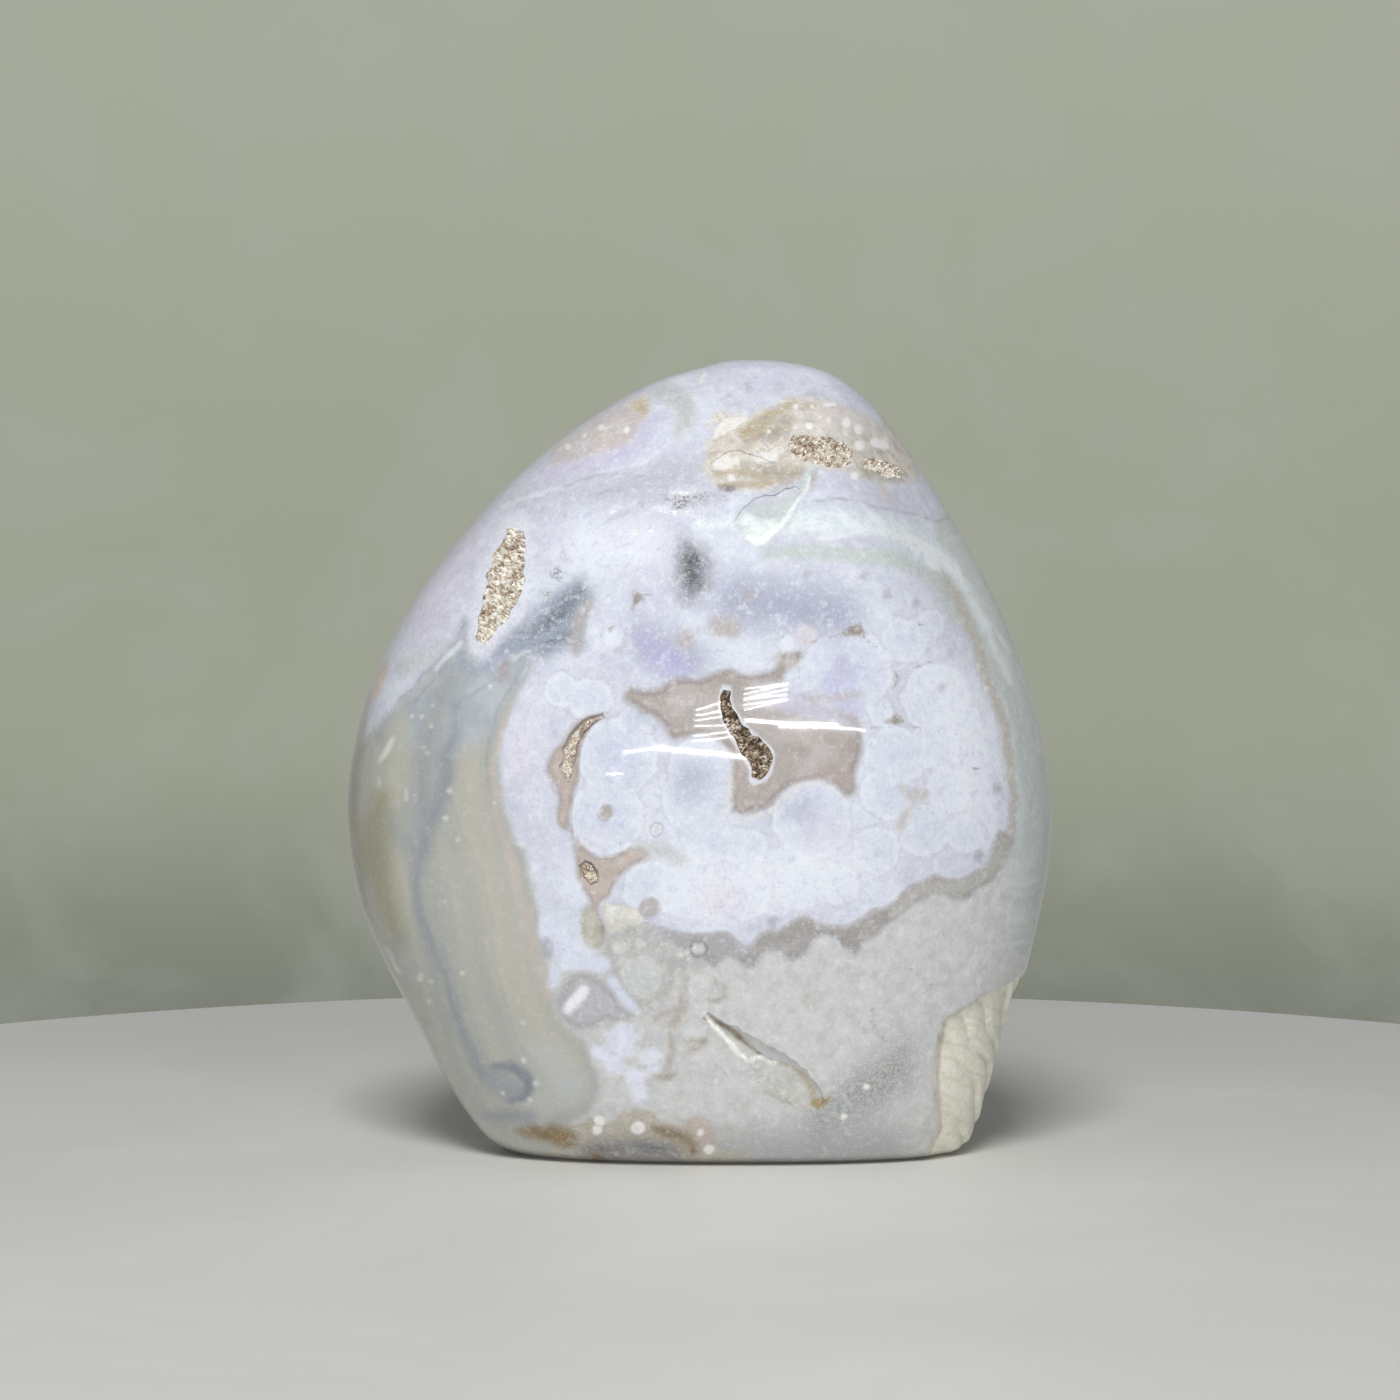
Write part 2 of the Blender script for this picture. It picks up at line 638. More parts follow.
CHIP_EDGE = (
    (813, 463), (811, 477), (807, 490), (797, 501), (792, 512), (784, 522), (774, 533), (766, 539),
    (757, 545), (745, 541), (742, 534), (736, 525), (735, 515), (746, 505), (760, 498), (780, 494),
    (796, 482),
)
CHALK = (
    (600, 901), (613, 902), (626, 906), (638, 908), (645, 918), (655, 927), (664, 937), (675, 943),
    (686, 952), (704, 961), (706, 967), (690, 969), (676, 976), (668, 1000), (650, 1010), (634, 1014),
    (616, 990), (604, 976), (601, 958), (607, 940), (605, 920),
)
GREY_CELL = (
    (563, 984), (571, 977), (585, 972), (599, 979), (613, 992), (620, 1004), (634, 1016), (625, 1022),
    (607, 1020), (593, 1027), (578, 1029), (564, 1021), (558, 1002),
)
BASE_TAN = (
    (560, 1130), (568, 1126), (580, 1122), (591, 1117), (602, 1124), (613, 1123), (622, 1112),
    (632, 1109), (650, 1111), (664, 1120), (681, 1127), (690, 1120), (703, 1119), (711, 1128),
    (716, 1140), (724, 1150), (735, 1152), (750, 1156), (750, 1180), (560, 1180),
)
PALE_ZONE = (*BAND_BOTTOM[::-1], (1045, 826), (1080, 900), (1050, 1180), (470, 1180), *STRIP_EDGE[::-1][:12],
             (562, 972), (585, 958), (598, 950), (610, 930), (640, 926))
LEFT_ZONE = (*STRIP_EDGE, (540, 1180), (420, 1180), (300, 900), (300, 780), (340, 756), (368, 734),
             (396, 706), (411, 690), (426, 674), (446, 654), (461, 636), (466, 650))
RIGHT_LINE = (
    (957, 588, 1), (966, 626, 1.5), (979, 646, 2), (984, 666, 2.5), (991, 689, 3), (1007, 726, 3),
    (1009, 751, 3), (1012, 776, 3.5), (1014, 800, 4), (1010, 832, 5),
)
RIGHT_ZONE = (
    (930, 540), (952, 566), (960, 590), (968, 626), (981, 646), (987, 666), (994, 689), (1009, 726),
    (1012, 751), (1015, 776), (1017, 800), (1016, 840), (1004, 869), (1010, 900), (1020, 960),
    (1080, 960), (1090, 800), (1060, 640), (990, 540), (950, 500),
)

LAYERS = [
    Layer("lilac_shoulder", brush(((470, 520, 14), (450, 570, 22), (425, 625, 20))), (224, 219, 236),
          (212, 208, 226), soft=40, opacity=0.85),
    Layer("grey_top", brush(((520, 500, 6), (600, 490, 12), (660, 480, 16), (700, 470, 12)),), (186, 187, 195), soft=34,
          opacity=0.8),
    Layer("violet", brush(((640, 640, 14), (665, 655, 20), (690, 660, 14)), ((740, 600, 26), (840, 615, 22)),
                          ((690, 780, 10),), ((800, 806, 4),), ((645, 710, 6),)),
          (166, 169, 192), (160, 164, 184), soft=46, opacity=0.85),
    Layer("violet_deep", brush(((646, 642, 6), (668, 662, 10), (690, 666, 5)), ((832, 688, 8), (850, 702, 8))),
          (184, 179, 222), soft=28, opacity=0.8),
    Layer("white_haze", brush(((580, 545, 14), (640, 545, 26)), ((585, 640, 16),), ((690, 890, 28), (850, 870, 22)),
                              ((950, 690, 26), (970, 790, 24))), (236, 240, 249), soft=44, opacity=0.7),
    Layer("pink_haze", brush(((528, 730, 12), (520, 770, 12)), ((596, 842, 10),), ((820, 830, 16),),
                             ((720, 900, 20),)), (226, 217, 230), soft=34, opacity=0.55),
    Layer("pale_zone", (Patch(PALE_ZONE),), (208, 208, 207), (193, 193, 191), Grain.HAZE, soft=5, wobble=3),
    Layer("foot_dusk", brush(((620, 1160, 14), (760, 1160, 24), (880, 1150, 24))), (170, 171, 171), soft=50,
          opacity=0.9),
    Layer("left_zone", (Patch(LEFT_ZONE),), (184, 183, 173), (170, 173, 169), Grain.STREAK, soft=10, wobble=3),
    Layer("right_zone", (Patch(RIGHT_ZONE),), (212, 219, 217), (192, 200, 196), Grain.STREAK, soft=9, wobble=3),
    Layer("right_dark", brush(((1030, 690, 2), (1045, 750, 5), (1050, 820, 6), (1042, 890, 6), (1028, 950, 4))),
          (190, 198, 198), soft=16, opacity=0.35),
    Layer("cream_band", brush(((470, 730, 8), (472, 800, 14), (478, 850, 18), (492, 900, 18), (507, 960, 20),
                               (532, 1010, 18), (560, 1060, 20))), (190, 188, 175), (182, 179, 170),
          Grain.STREAK, soft=24, opacity=0.85),
    Layer("cool_top", (Patch(((466, 622), (440, 660), (400, 704), (384, 728), (420, 752), (470, 748), (496, 728),
                              (516, 690), (530, 664), (524, 652), (503, 662), (474, 668))),),
          (172, 180, 188), (186, 192, 198), soft=26, wobble=5, opacity=0.9),
    Layer("pale_green", brush(((404, 668, 8), (430, 656, 6), (446, 640, 3))), (203, 208, 208), soft=12),
    Layer("cool_left", brush(((474, 650, 5), (448, 685, 8), (435, 720, 12), (430, 760, 14), (424, 800, 12),
                              (414, 850, 8))), (156, 161, 162), (172, 176, 175), Grain.STREAK, soft=22),
    Layer("left_haze", brush(((400, 720, 8), (396, 760, 12), (392, 800, 10)), ((398, 860, 8), (402, 920, 8))),
          (190, 189, 174), soft=16, opacity=0.8),
    Layer("slate_band", brush(((456, 706, 2), (455, 735, 4), (447, 756, 7), (446, 780, 8), (438, 805, 7),
                               (428, 835, 6), (420, 860, 5), (417, 888, 4), (424, 925, 4), (438, 960, 3.5),
                               (450, 990, 3.5), (458, 1020, 4), (470, 1048, 5), (484, 1074, 6))),
          (140, 147, 156), soft=18, wobble=3, opacity=0.8),
    Layer("olive_patch", brush(((380, 800, 10), (374, 850, 16), (384, 895, 12), (398, 940, 6))),
          (158, 153, 124), soft=24, opacity=0.85),
    Layer("olive_edge", brush(((370, 690, 3), (356, 740, 6), (349, 790, 8), (349, 840, 8), (356, 890, 7),
                               (370, 935, 6), (388, 975, 7), (408, 1015, 8), (438, 1075, 7), (470, 1126, 5))),
          (142, 127, 92), soft=14, opacity=0.9),
    Layer("peach_edge", brush(((386, 660, 2), (380, 675, 6), (374, 694, 4))), (212, 194, 174), soft=8),
    Layer("blush_band", brush(((512, 700, 2), (499, 738, 3), (493, 770, 3), (496, 810, 4), (506, 842, 5),
                               (515, 872, 6), (523, 902, 6), (530, 934, 6), (538, 966, 6), (549, 996, 5))),
          (200, 190, 184), (190, 182, 172), Grain.STREAK, soft=7, opacity=0.85),
    Layer("low_grey", brush(((566, 1085, 18), (540, 1050, 8)), ((540, 1104, 12),)), (186, 189, 189), soft=26,
          opacity=0.8),
    Layer("blob_grey", brush(((500, 1082, 13), (512, 1090, 12)), ((490, 1114, 6), (530, 1118, 7))),
          (152, 155, 163), soft=16, opacity=0.9),
    Layer("blob_dark", brush(((492, 1066, 1.5), (507, 1066, 4), (522, 1073, 5), (529, 1084, 5), (524, 1096, 4),
                              (512, 1100, 2))), (122, 130, 139), soft=7, opacity=0.9),
    Layer("blue_veil", brush(((498, 655, 6), (530, 640, 14), (560, 616, 16), (582, 594, 8))), (168, 176, 189),
          soft=44, wobble=5, opacity=0.85),
    Layer("blue_patch", brush(((506, 648, 3), (527, 638, 8), (548, 624, 14), (565, 608, 14), (577, 594, 9)),
                              ((530, 646, 4), (548, 640, 12), (570, 632, 9), (580, 640, 4))),
          (105, 115, 128), (127, 136, 150), Grain.CLOUD, soft=30, wobble=7),
    Layer("blue_heart", brush(((562, 605, 3), (576, 596, 7), (581, 602, 5)), ((552, 632, 2), (566, 634, 2)),
                              ((515, 634, 1), (521, 632, 1))), (122, 133, 144), soft=15, wobble=4, opacity=0.8),
    Layer("blue_swirls", strokes(1.0, ((508, 640), (530, 634), (548, 637), (562, 634), (574, 622)),
                                 ((528, 622), (543, 610), (560, 603)), ((520, 650), (540, 646), (560, 648)),
                                 ((466, 690), (482, 684), (500, 674))),
          (186, 196, 212), soft=4, wobble=3, opacity=0.7),
    Layer("u_band", brush(((464, 620, 2), (463, 645, 3), (462, 660, 4), (470, 670, 4), (486, 667, 4.5),
                           (499, 655, 4.5), (512, 645, 4), (527, 641, 3), (544, 637, 3), (564, 624, 3))),
          (156, 166, 183), soft=9, wobble=2, opacity=0.9),
    Layer("olive_streak", brush(((589, 601, 3), (581, 615, 6), (577, 631, 6), (576, 651, 4))), (174, 169, 163),
          soft=11, wobble=3, opacity=0.9),
    Layer("fine_lines", strokes(0.9, ((464, 618), (461, 635), (446, 653), (426, 673), (411, 689), (396, 704)),
                                ((448, 666), (436, 678), (423, 691), (413, 703)),
                                ((531, 660), (527, 668), (516, 680), (506, 694), (498, 709), (493, 726),
                                 (488, 747), (487, 767), (489, 792), (493, 809)),
                                ((498, 676), (486, 686), (470, 695), (460, 702), (456, 712), (456, 726)),
                                ((547, 487), (565, 486), (583, 479), (601, 475), (622, 475), (650, 478)),
                                ((597, 495), (608, 490), (620, 490)),
                                ((790, 503), (830, 500), (860, 501), (873, 507), (903, 512), (928, 519),
                                 (952, 523))), (152, 155, 162), soft=2.6, wobble=1.6, opacity=0.7),
    Layer("white_lines", strokes(1.6, ((610, 468), (642, 464), (658, 450), (670, 440)),
                                 ((502, 507), (540, 493), (561, 487)), ((436, 668), (452, 651), (461, 640)),
                                 ((654, 509), (670, 506), (672, 493), (690, 491)),
                                 ((512, 660), (521, 652), (530, 652))),
          (236, 238, 248), soft=4, wobble=2.5, opacity=0.8),
    Layer("tan_band", (Patch((*BAND_TOP, *BAND_BOTTOM), steps=3),), (154, 150, 147), (168, 163, 160),
          Grain.CLOUD, soft=7, wobble=2.2),
    Layer("tan_band_edge", strokes(1.6, tuple(BAND_TOP[4:])), (170, 156, 146), soft=5, wobble=2, opacity=0.6),
    Layer("grey_shelf", brush(((662, 930, 2), (682, 939, 5), (705, 944, 9), (728, 946, 9), (750, 951, 4))),
          (170, 168, 172), soft=7, opacity=0.8),
    Layer("band_end", brush(((893, 914, 5), (922, 890, 6), (950, 889, 6), (980, 878, 6), (996, 860, 6), (1004, 842, 5))),
          (186, 184, 176), (178, 175, 166), soft=7, wobble=2.2, opacity=0.85),
    Layer("right_line", brush(RIGHT_LINE), (186, 181, 171), soft=4.5, wobble=2, opacity=0.9),
    Layer("gap", (Patch(GAP, steps=3),), (182, 169, 160), (196, 181, 172), Grain.CLOUD, soft=6, wobble=2.2,
          rim=(166, 154, 145), rim_width=5),
    Layer("gap_hollow", brush(((550, 772, 3), (556, 790, 4)), ((562, 752, 3), (570, 740, 3), (582, 728, 2))),
          (178, 170, 160), soft=7, opacity=0.7),
    Layer("gap_line", strokes(1.0, GAP_LINE), (160, 138, 124), soft=2.6, wobble=1.2, opacity=0.85),
    Layer("window", (Patch(WINDOW, steps=3),), (170, 161, 155), (186, 177, 171), Grain.CLOUD, soft=9,
          wobble=2.6, rim=(156, 145, 136), rim_width=8),
    Layer("window_glow", brush(((684, 700, 9), (676, 712, 6)), ((800, 735, 7), (775, 738, 5)), ((800, 772, 5), (822, 758, 13))),
          (198, 190, 187), soft=18, wobble=4, opacity=0.8),
    Layer("window_lilac", brush(((768, 696, 12), (800, 704, 12), (835, 718, 8), (850, 726, 5))), (202, 200, 216),
          (190, 186, 196), soft=16, wobble=4, opacity=0.9),
    Layer("window_arm", brush(((737, 768, 4), (738, 790, 6), (743, 804, 4)), ((828, 768, 10), (846, 780, 8))),
          (184, 170, 166), (172, 158, 152), soft=9, wobble=3, opacity=0.85),
    Layer("window_rim", strokes(2.0, ((731, 772), (729, 792), (725, 806), (726, 816), (743, 820), (755, 815),
                                      (771, 810), (781, 800), (793, 790), (806, 784), (820, 782), (832, 787))),
          (226, 224, 222), soft=4, wobble=1.4),
    Layer("shelf_light", brush(((642, 846, 4), (662, 850, 7), (682, 862, 5))), (196, 196, 193), soft=14,
          opacity=0.85),
    Layer("chalk", (Patch(CHALK, steps=3),), (191, 191, 188), (178, 178, 175), Grain.CELLS, soft=9, wobble=4,
          polish=Polish.DULL),
    Layer("chalk_lumps", dots((620, 948, 9), (640, 944, 8), (660, 950, 6), (656, 1004, 7), (624, 962, 8)),
          (212, 212, 210), soft=7, wobble=4, opacity=0.8, rim=(190, 189, 185), rim_width=3),
    Layer("chalk_lip", (Patch(((600, 901), (610, 903), (625, 907), (637, 910), (645, 918), (640, 926), (626, 927),
                               (613, 931), (606, 926), (603, 915))), *brush(((660, 942, 1.5), (690, 960, 1.5)))),
          (226, 224, 213), (211, 209, 199), Grain.HAZE, soft=4, wobble=4.5, polish=Polish.CHALK),
    Layer("lip_edge", brush(((603, 915, 1), (610, 926, 1.6), (626, 928, 1.4), (641, 926, 1))), (196, 190, 166), soft=4,
          wobble=4, opacity=0.8),
    Layer("lobes", brush(((552, 930, 14), (564, 950, 12)), ((556, 972, 6), (551, 986, 4)), ((576, 962, 9), (602, 966, 9)),
                         ((612, 982, 7), (632, 1008, 6))), (222, 225, 242), (212, 218, 236), Grain.HAZE, soft=6,
          wobble=3, opacity=0.9),
    Layer("grey_cell", (Patch(GREY_CELL, steps=3),), (184, 182, 187), (176, 174, 179), soft=10, wobble=5, opacity=0.9,
          rim=(164, 160, 163), rim_width=9),
    Layer("olive_bay", brush(((588, 912, 6), (591, 926, 9), (594, 940, 7))), (181, 179, 162), (190, 188, 176),
          Grain.HAZE, soft=7, wobble=3),
    Layer("lumps", dots((642, 976, 23), (701, 986, 15), (694, 1031, 15)), (208, 210, 209), (200, 202, 202),
          Grain.HAZE, soft=7, wobble=5, opacity=0.8, rim=(194, 191, 187), rim_width=4),
    Layer("lilac_lumps", dots((623, 1040, 17), (606, 1050, 6), (651, 1056, 10), (655, 1070, 6)) +
          brush(((636, 1078, 10), (640, 1096, 8)), ((600, 1052, 9), (618, 1066, 8))), (230, 232, 247),
          (216, 220, 236), Grain.HAZE, soft=9, wobble=5, opacity=0.9),
    Layer("white_blobs", brush(((584, 990, 5), (577, 999, 6), (567, 1010, 4)), ((638, 1012, 3),)), (240, 241, 248),
          soft=5, wobble=2),
    Layer("brown_net", brush(((684, 974, 1), (683, 1008, 3), (671, 1026, 3.5), (672, 1052, 3), (666, 1076, 3)),
                             ((652, 1020, 2), (664, 1014, 3), (684, 1008, 3)), ((704, 1042, 3), (690, 1052, 2)),
                             ((655, 1076, 2), (668, 1077, 3), (677, 1074, 1))), (170, 158, 147), soft=8, wobble=6,
          opacity=0.85),
    Layer("brown_marks", brush(((718, 982, 2), (727, 990, 3), (722, 998, 2), (712, 1000, 2)), ((657, 1076, 1),
                                (669, 1077, 2.4), (676, 1075, 1)), ((804, 1002, 1.5), (812, 990, 1)),
                               ((684, 1039, 1), (706, 1041, 2.4))), (152, 143, 124), soft=5, wobble=5, opacity=0.75),
    Layer("ring_dark", (Stroke(((699, 948.5, 9.5),)),), (138, 137, 140), soft=2),
    Layer("ring_pale", (Stroke(((699, 948.5, 6.5),)),), (208, 206, 204), soft=2),
    Layer("tan_dots", dots((606, 813.5, 8), (650, 908, 11)), (172, 164, 160), (184, 178, 176), soft=3),
    Layer("tan_clouds", dots((686, 639, 8), (720, 627, 11), (732, 628, 10), (749, 597, 4)), (176, 166, 163),
          (184, 176, 170), soft=13, wobble=3, opacity=0.9),
    Layer("seams", brush(((900, 786, 3), (912, 796, 6), (926, 792, 4)), ((908, 812, 5), (900, 826, 5)),
                         ((792, 660, 5), (791, 667, 4)), ((860, 694, 3), (812, 700, 3)),
                         ((776, 655, 2), (783, 662, 3))), (196, 189, 183), soft=9, wobble=3, opacity=0.85),
    Layer("grey_dots", dots((617, 757.7, 2.5), (629, 784.5, 2), (889, 594, 5), (863, 576.5, 4), (807, 574, 3.5),
                            (916, 604, 3), (943, 688.5, 4), (950, 653, 3), (997, 789, 4.5), (979, 857, 6),
                            (772.7, 922, 6), (619, 650, 2.5), (623, 667, 2)) +
          brush(((545.5, 941, 5), (547.5, 955, 5.5))), (170, 172, 182), soft=6, wobble=2, opacity=0.85),
    Layer("flower_heart", dots((842, 668, 13),), (194, 192, 218), soft=18, opacity=0.8),
    Layer("small_rings", dots((656, 829, 7),), (222, 224, 234), soft=2, rim=(180, 180, 186), rim_width=1.6),
    Layer("small_balls", dots((613, 638, 10), (787, 643, 8)), (228, 233, 242), soft=5, opacity=0.9),
    Layer("pink_ball", dots((806, 636, 11),), (216, 211, 218), soft=5, opacity=0.9),
    Layer("ring_eye", dots((656, 829, 3.4),), (196, 195, 184), soft=2),
    Layer("chinks", (Patch(((862, 623), (850, 628), (841, 635), (850, 637), (860, 636), (866, 640), (864, 630))),
                     Patch(((633, 590), (642, 595), (646, 598), (638, 603), (631, 612), (633, 600))),
                     Patch(((895, 672), (899, 679), (893, 687), (894, 680))),
                     Patch(((897, 713), (904, 721), (896, 724), (884, 722))),
                     Patch(((607, 630), (613, 627), (611, 633))), Patch(((612, 649), (621, 650), (616, 654)))),
          (148, 136, 124), soft=3, wobble=1.4, opacity=0.95),
    Layer("cracks", strokes(0.7, ((829, 638), (840, 634), (850, 628), (862, 623)), ((861, 636), (869, 643), (879, 650)),
                            ((602, 636), (607, 630), (615, 627)), ((632, 589), (640, 594), (653, 595)),
                            ((641, 597), (634, 604), (629, 612)), ((898, 671), (915, 668), (931, 663)),
                            ((890, 689), (896, 680)), ((872, 728), (885, 723), (897, 713), (906, 724), (918, 728)),
                            ((809, 645), (818, 639)), ((781, 638), (784, 634)), ((605, 596), (611, 592)),
                            ((800, 652), (797, 664), (801, 680)), ((610, 826), (618, 839), (623, 846)),
                            ((901, 961), (918, 974), (936, 989)), ((974, 770), (984, 766), (992, 765)),
                            ((554, 976), (557, 971)), ((546, 595), (552, 591)), ((716, 597), (719, 592)),
                            ((892, 616), (910, 619), (924, 626)), ((607, 598), (612, 593))),
          (128, 118, 112), soft=1.6, wobble=1.4, opacity=0.85),
    Layer("smudge", brush(((688, 544, 4), (694, 566, 14), (690, 592, 8))), (62, 64, 62), (84, 85, 84),
          Grain.CLOUD, soft=32, wobble=8, opacity=0.95),
    Layer("smudge_core", brush(((692, 556, 2), (694, 572, 5), (697, 584, 4))), (70, 70, 68), (96, 97, 95),
          Grain.HAZE, soft=16, wobble=8, opacity=0.9),
    Layer("smudge_streaks", strokes(0.8, ((683, 556), (684, 590)), ((690, 548), (689, 598)), ((699, 560), (698, 602)),
                                    ((706, 556), (704, 590)), ((678, 566), (680, 584))),
          (98, 98, 96), soft=4, wobble=6, opacity=0.5),
    Layer("pit_brown", brush(((508, 664, 3), (505, 672, 5), (500, 679, 3))), (150, 142, 142), (172, 162, 162),
          soft=7, wobble=3, opacity=0.9),
    Layer("pit_lip", strokes(1.2, ((521, 651), (527, 656), (527, 668), (520, 678))), (202, 208, 216), soft=3),
    Layer("dark_grit", brush(((668, 500, 3), (682, 500, 7), (700, 497, 4), (716, 494, 2)),), (132, 128, 128),
          (200, 200, 208), Grain.SPECKLE, soft=8, wobble=8, opacity=0.85, polish=Polish.BROKEN),
    Layer("pits", dots((557, 573, 6), (681, 503, 8), (546, 594, 3)), (124, 122, 124),
          (214, 214, 222), Grain.SPECKLE, soft=6, wobble=5, opacity=0.85, polish=Polish.BROKEN),
    Layer("pit_white", dots((513, 657, 3.4), (507, 651, 1.5), (490, 685, 2.2)), (236, 238, 240), (196, 200, 206), Grain.SPECKLE, soft=4,
          wobble=4, polish=Polish.BROKEN),
    Layer("speckle_chain", brush(((873, 1010, 1), (874, 1024, 1.5), (879, 1034, 1), (888, 1044, 1)),
                                 ((716, 1066, 1), (726, 1074, 1))), (140, 140, 140), (190, 190, 190),
          Grain.SPECKLE, soft=4, wobble=5, opacity=0.8),
    Layer("speckled", brush(((820, 1120, 12), (860, 1095, 22), (895, 1070, 20), (905, 1045, 6))),
          (138, 141, 137), (172, 174, 171), Grain.SPECKLE, soft=44, wobble=8, opacity=0.85),
    Layer("base_tan", (Patch(BASE_TAN, steps=3),), (190, 182, 170), (174, 166, 146), Grain.HAZE, soft=5,
          wobble=3),
    Layer("base_blush", brush(((698, 1126, 8), (708, 1138, 6)),), (200, 184, 178), soft=8, opacity=0.85),
    Layer("base_violet", brush(((588, 1152, 8), (640, 1149, 10), (674, 1153, 8))), (110, 109, 113), (128, 125, 125),
          Grain.HAZE, soft=18, wobble=4, opacity=0.95),
    Layer("foot_shade", brush(((560, 1166, 3), (650, 1168, 5), (760, 1168, 6), (860, 1160, 5), (940, 1160, 4))),
          (172, 171, 166), soft=22, opacity=0.75),
    Layer("ochre", brush(((520, 1132, 3), (545, 1134, 8), (568, 1138, 9)), ((597, 1158, 5),),
                         ((656, 1128, 3), (672, 1134, 4), (688, 1141, 5), (694, 1152, 4)), ((738, 443, 5),),
                         ((640, 407, 4),), ((602, 929, 2.5),)),
          (126, 104, 54), (146, 126, 80), Grain.HAZE, soft=11, wobble=4),
    Layer("rust", brush(((556, 1140, 1), (566, 1137, 2.5)), ((597, 1159, 2),)), (146, 100, 36), soft=5,
          wobble=2.5, opacity=0.9),
    Layer("crown_pinks", (Patch(((548, 468), (556, 447), (580, 430), (606, 414), (634, 400), (650, 398),
                                 (645, 420), (634, 440), (619, 450), (595, 454), (566, 464))),),
          (209, 197, 193), (198, 184, 176), Grain.HAZE, soft=7, wobble=3, opacity=0.85),
    Layer("crown_cream", brush(((598, 436, 3), (612, 432, 4), (622, 424, 3)), ((632, 404, 6), (646, 398, 5)),
                               ((556, 448, 3), (566, 440, 3))), (222, 215, 200), (206, 194, 182), Grain.HAZE, soft=9,
          wobble=5, opacity=0.85),
    Layer("crown_stain", dots((640, 405, 5), (643, 412, 3)), (188, 170, 112), soft=10, wobble=4, opacity=0.85),
    Layer("crown_green", brush(((664, 392, 9), (680, 400, 12), (686, 418, 10), (680, 432, 4)),), (196, 200, 196),
          (182, 187, 183), Grain.HAZE, soft=14, wobble=6, opacity=0.85),
    Layer("crown_motes", dots((728, 397, 4), (747, 389, 4), (738, 404, 3), (779, 388, 4), (718, 388, 3)) +
          brush(((798, 396, 3), (812, 394, 4), (826, 399, 3))), (180, 182, 194), soft=7, wobble=5, opacity=0.7),
    Layer("tan_spot", dots((590, 466, 6),), (200, 184, 172), soft=9, wobble=3, opacity=0.85),
    Layer("upper_motes", brush(((520, 505, 3), (540, 510, 4)), ((566, 505, 2), (564, 514, 3)), ((610, 520, 2),
                               (650, 500, 3)), ((560, 545, 2), (566, 560, 2)), ((640, 488, 3), (660, 484, 2)),
                               ((790, 532, 3), (800, 533, 2)), ((828, 531, 3),), ((708, 500, 6), (724, 498, 5))),
          (182, 184, 194), (205, 206, 216), Grain.SPECKLE, soft=8, wobble=8, opacity=0.75),
    Layer("lilac_ribbon", brush(((545, 478, 6), (583, 466, 8), (619, 457, 8), (640, 444, 8), (652, 424, 7),
                                 (664, 414, 5))), (204, 200, 224), soft=8, opacity=0.8),
    Layer("lilac_band", brush(((815, 482, 7), (850, 487, 8), (890, 497, 9), (930, 507, 9))), (203, 203, 220),
          soft=9, opacity=0.9),
    Layer("ochre_blush", brush(((884, 484, 4), (886, 494, 5)),), (216, 204, 196), soft=10, opacity=0.85),
    Layer("notch", brush(((868, 428, 1.5), (884, 433, 3), (893, 440, 1.5)),), (160, 148, 128), soft=6, wobble=4,
          opacity=0.8),
    Layer("lilac_lens", brush(((902, 498, 6), (932, 505, 7))), (214, 214, 233), soft=6, opacity=0.9),
    Layer("mint_band", brush(((697, 525, 3), (740, 522, 7), (800, 522, 12), (850, 522, 11), (900, 530, 9),
                              (935, 552, 8), (962, 584, 6), (985, 630, 5))), (234, 243, 247), (216, 228, 229),
          Grain.HAZE, soft=10, wobble=4),
    Layer("mint_low", brush(((766, 552, 6), (815, 552, 8), (862, 556, 8), (905, 562, 8), (938, 585, 8),
                             (958, 620, 5))), (203, 211, 207), (190, 199, 188), Grain.HAZE, soft=12,
          wobble=4, opacity=0.85),
    Layer("ridge_wide", brush(((905, 536, 3), (930, 553, 6), (950, 572, 6), (966, 590, 5)),
                              ((988, 636, 3), (1000, 660, 4), (1010, 682, 2)), ((976, 606, 4), (984, 626, 3))),
          (234, 242, 244), soft=8, wobble=4, opacity=0.9),
    Layer("edge_streaks", strokes(1.0, ((992, 626), (1003, 640), (1011, 652)), ((1026, 690), (1036, 716), (1040, 752)),
                                  ((1034, 712), (1040, 740), (1048, 768)), ((1020, 668), (1026, 690))),
          (240, 244, 246), soft=4, wobble=4, opacity=0.9),
    Layer("edge_dark", brush(((985, 572, 3), (1006, 612, 4), (1026, 660, 4)), ((1040, 706, 3), (1050, 750, 4))),
          (168, 178, 176), soft=10, opacity=0.7),
    Layer("right_olive", brush(((938, 566, 3), (950, 586, 6), (962, 606, 6), (974, 636, 5), (982, 662, 5),
                                (992, 694, 4), (1004, 730, 4), (1010, 780, 4))), (190, 186, 172), soft=10,
          wobble=3, opacity=0.85),
    Layer("mint_white", brush(((868, 522, 3), (886, 526, 5), (900, 528, 3)), ((905, 540, 5), (920, 550, 8),
                                                                              (936, 566, 5))),
          (240, 247, 251), (224, 234, 238), Grain.HAZE, soft=9, wobble=6),
    Layer("glints", brush(((655, 510, 1), (668, 513, 1.6), (688, 512, 1.4), (704, 518, 1.2), (718, 523, 1)),
                          ((672, 492, 1.6), (690, 493, 1), (697, 488, 1.4)), ((625, 545, 1.4),), ((650, 530, 2),),
                          ((700, 524, 1.4), (722, 525, 1.8), (734, 527, 1))), (250, 250, 252), (214, 215, 222),
          Grain.SPECKLE, soft=3, wobble=6),
    Layer("mint_ridge", brush(((815, 540, 1), (840, 536, 1.6), (862, 532, 1)), ((893, 537, 2), (912, 540, 5),
                              (932, 553, 5), (950, 566, 4), (962, 580, 2)), ((880, 532, 2),),
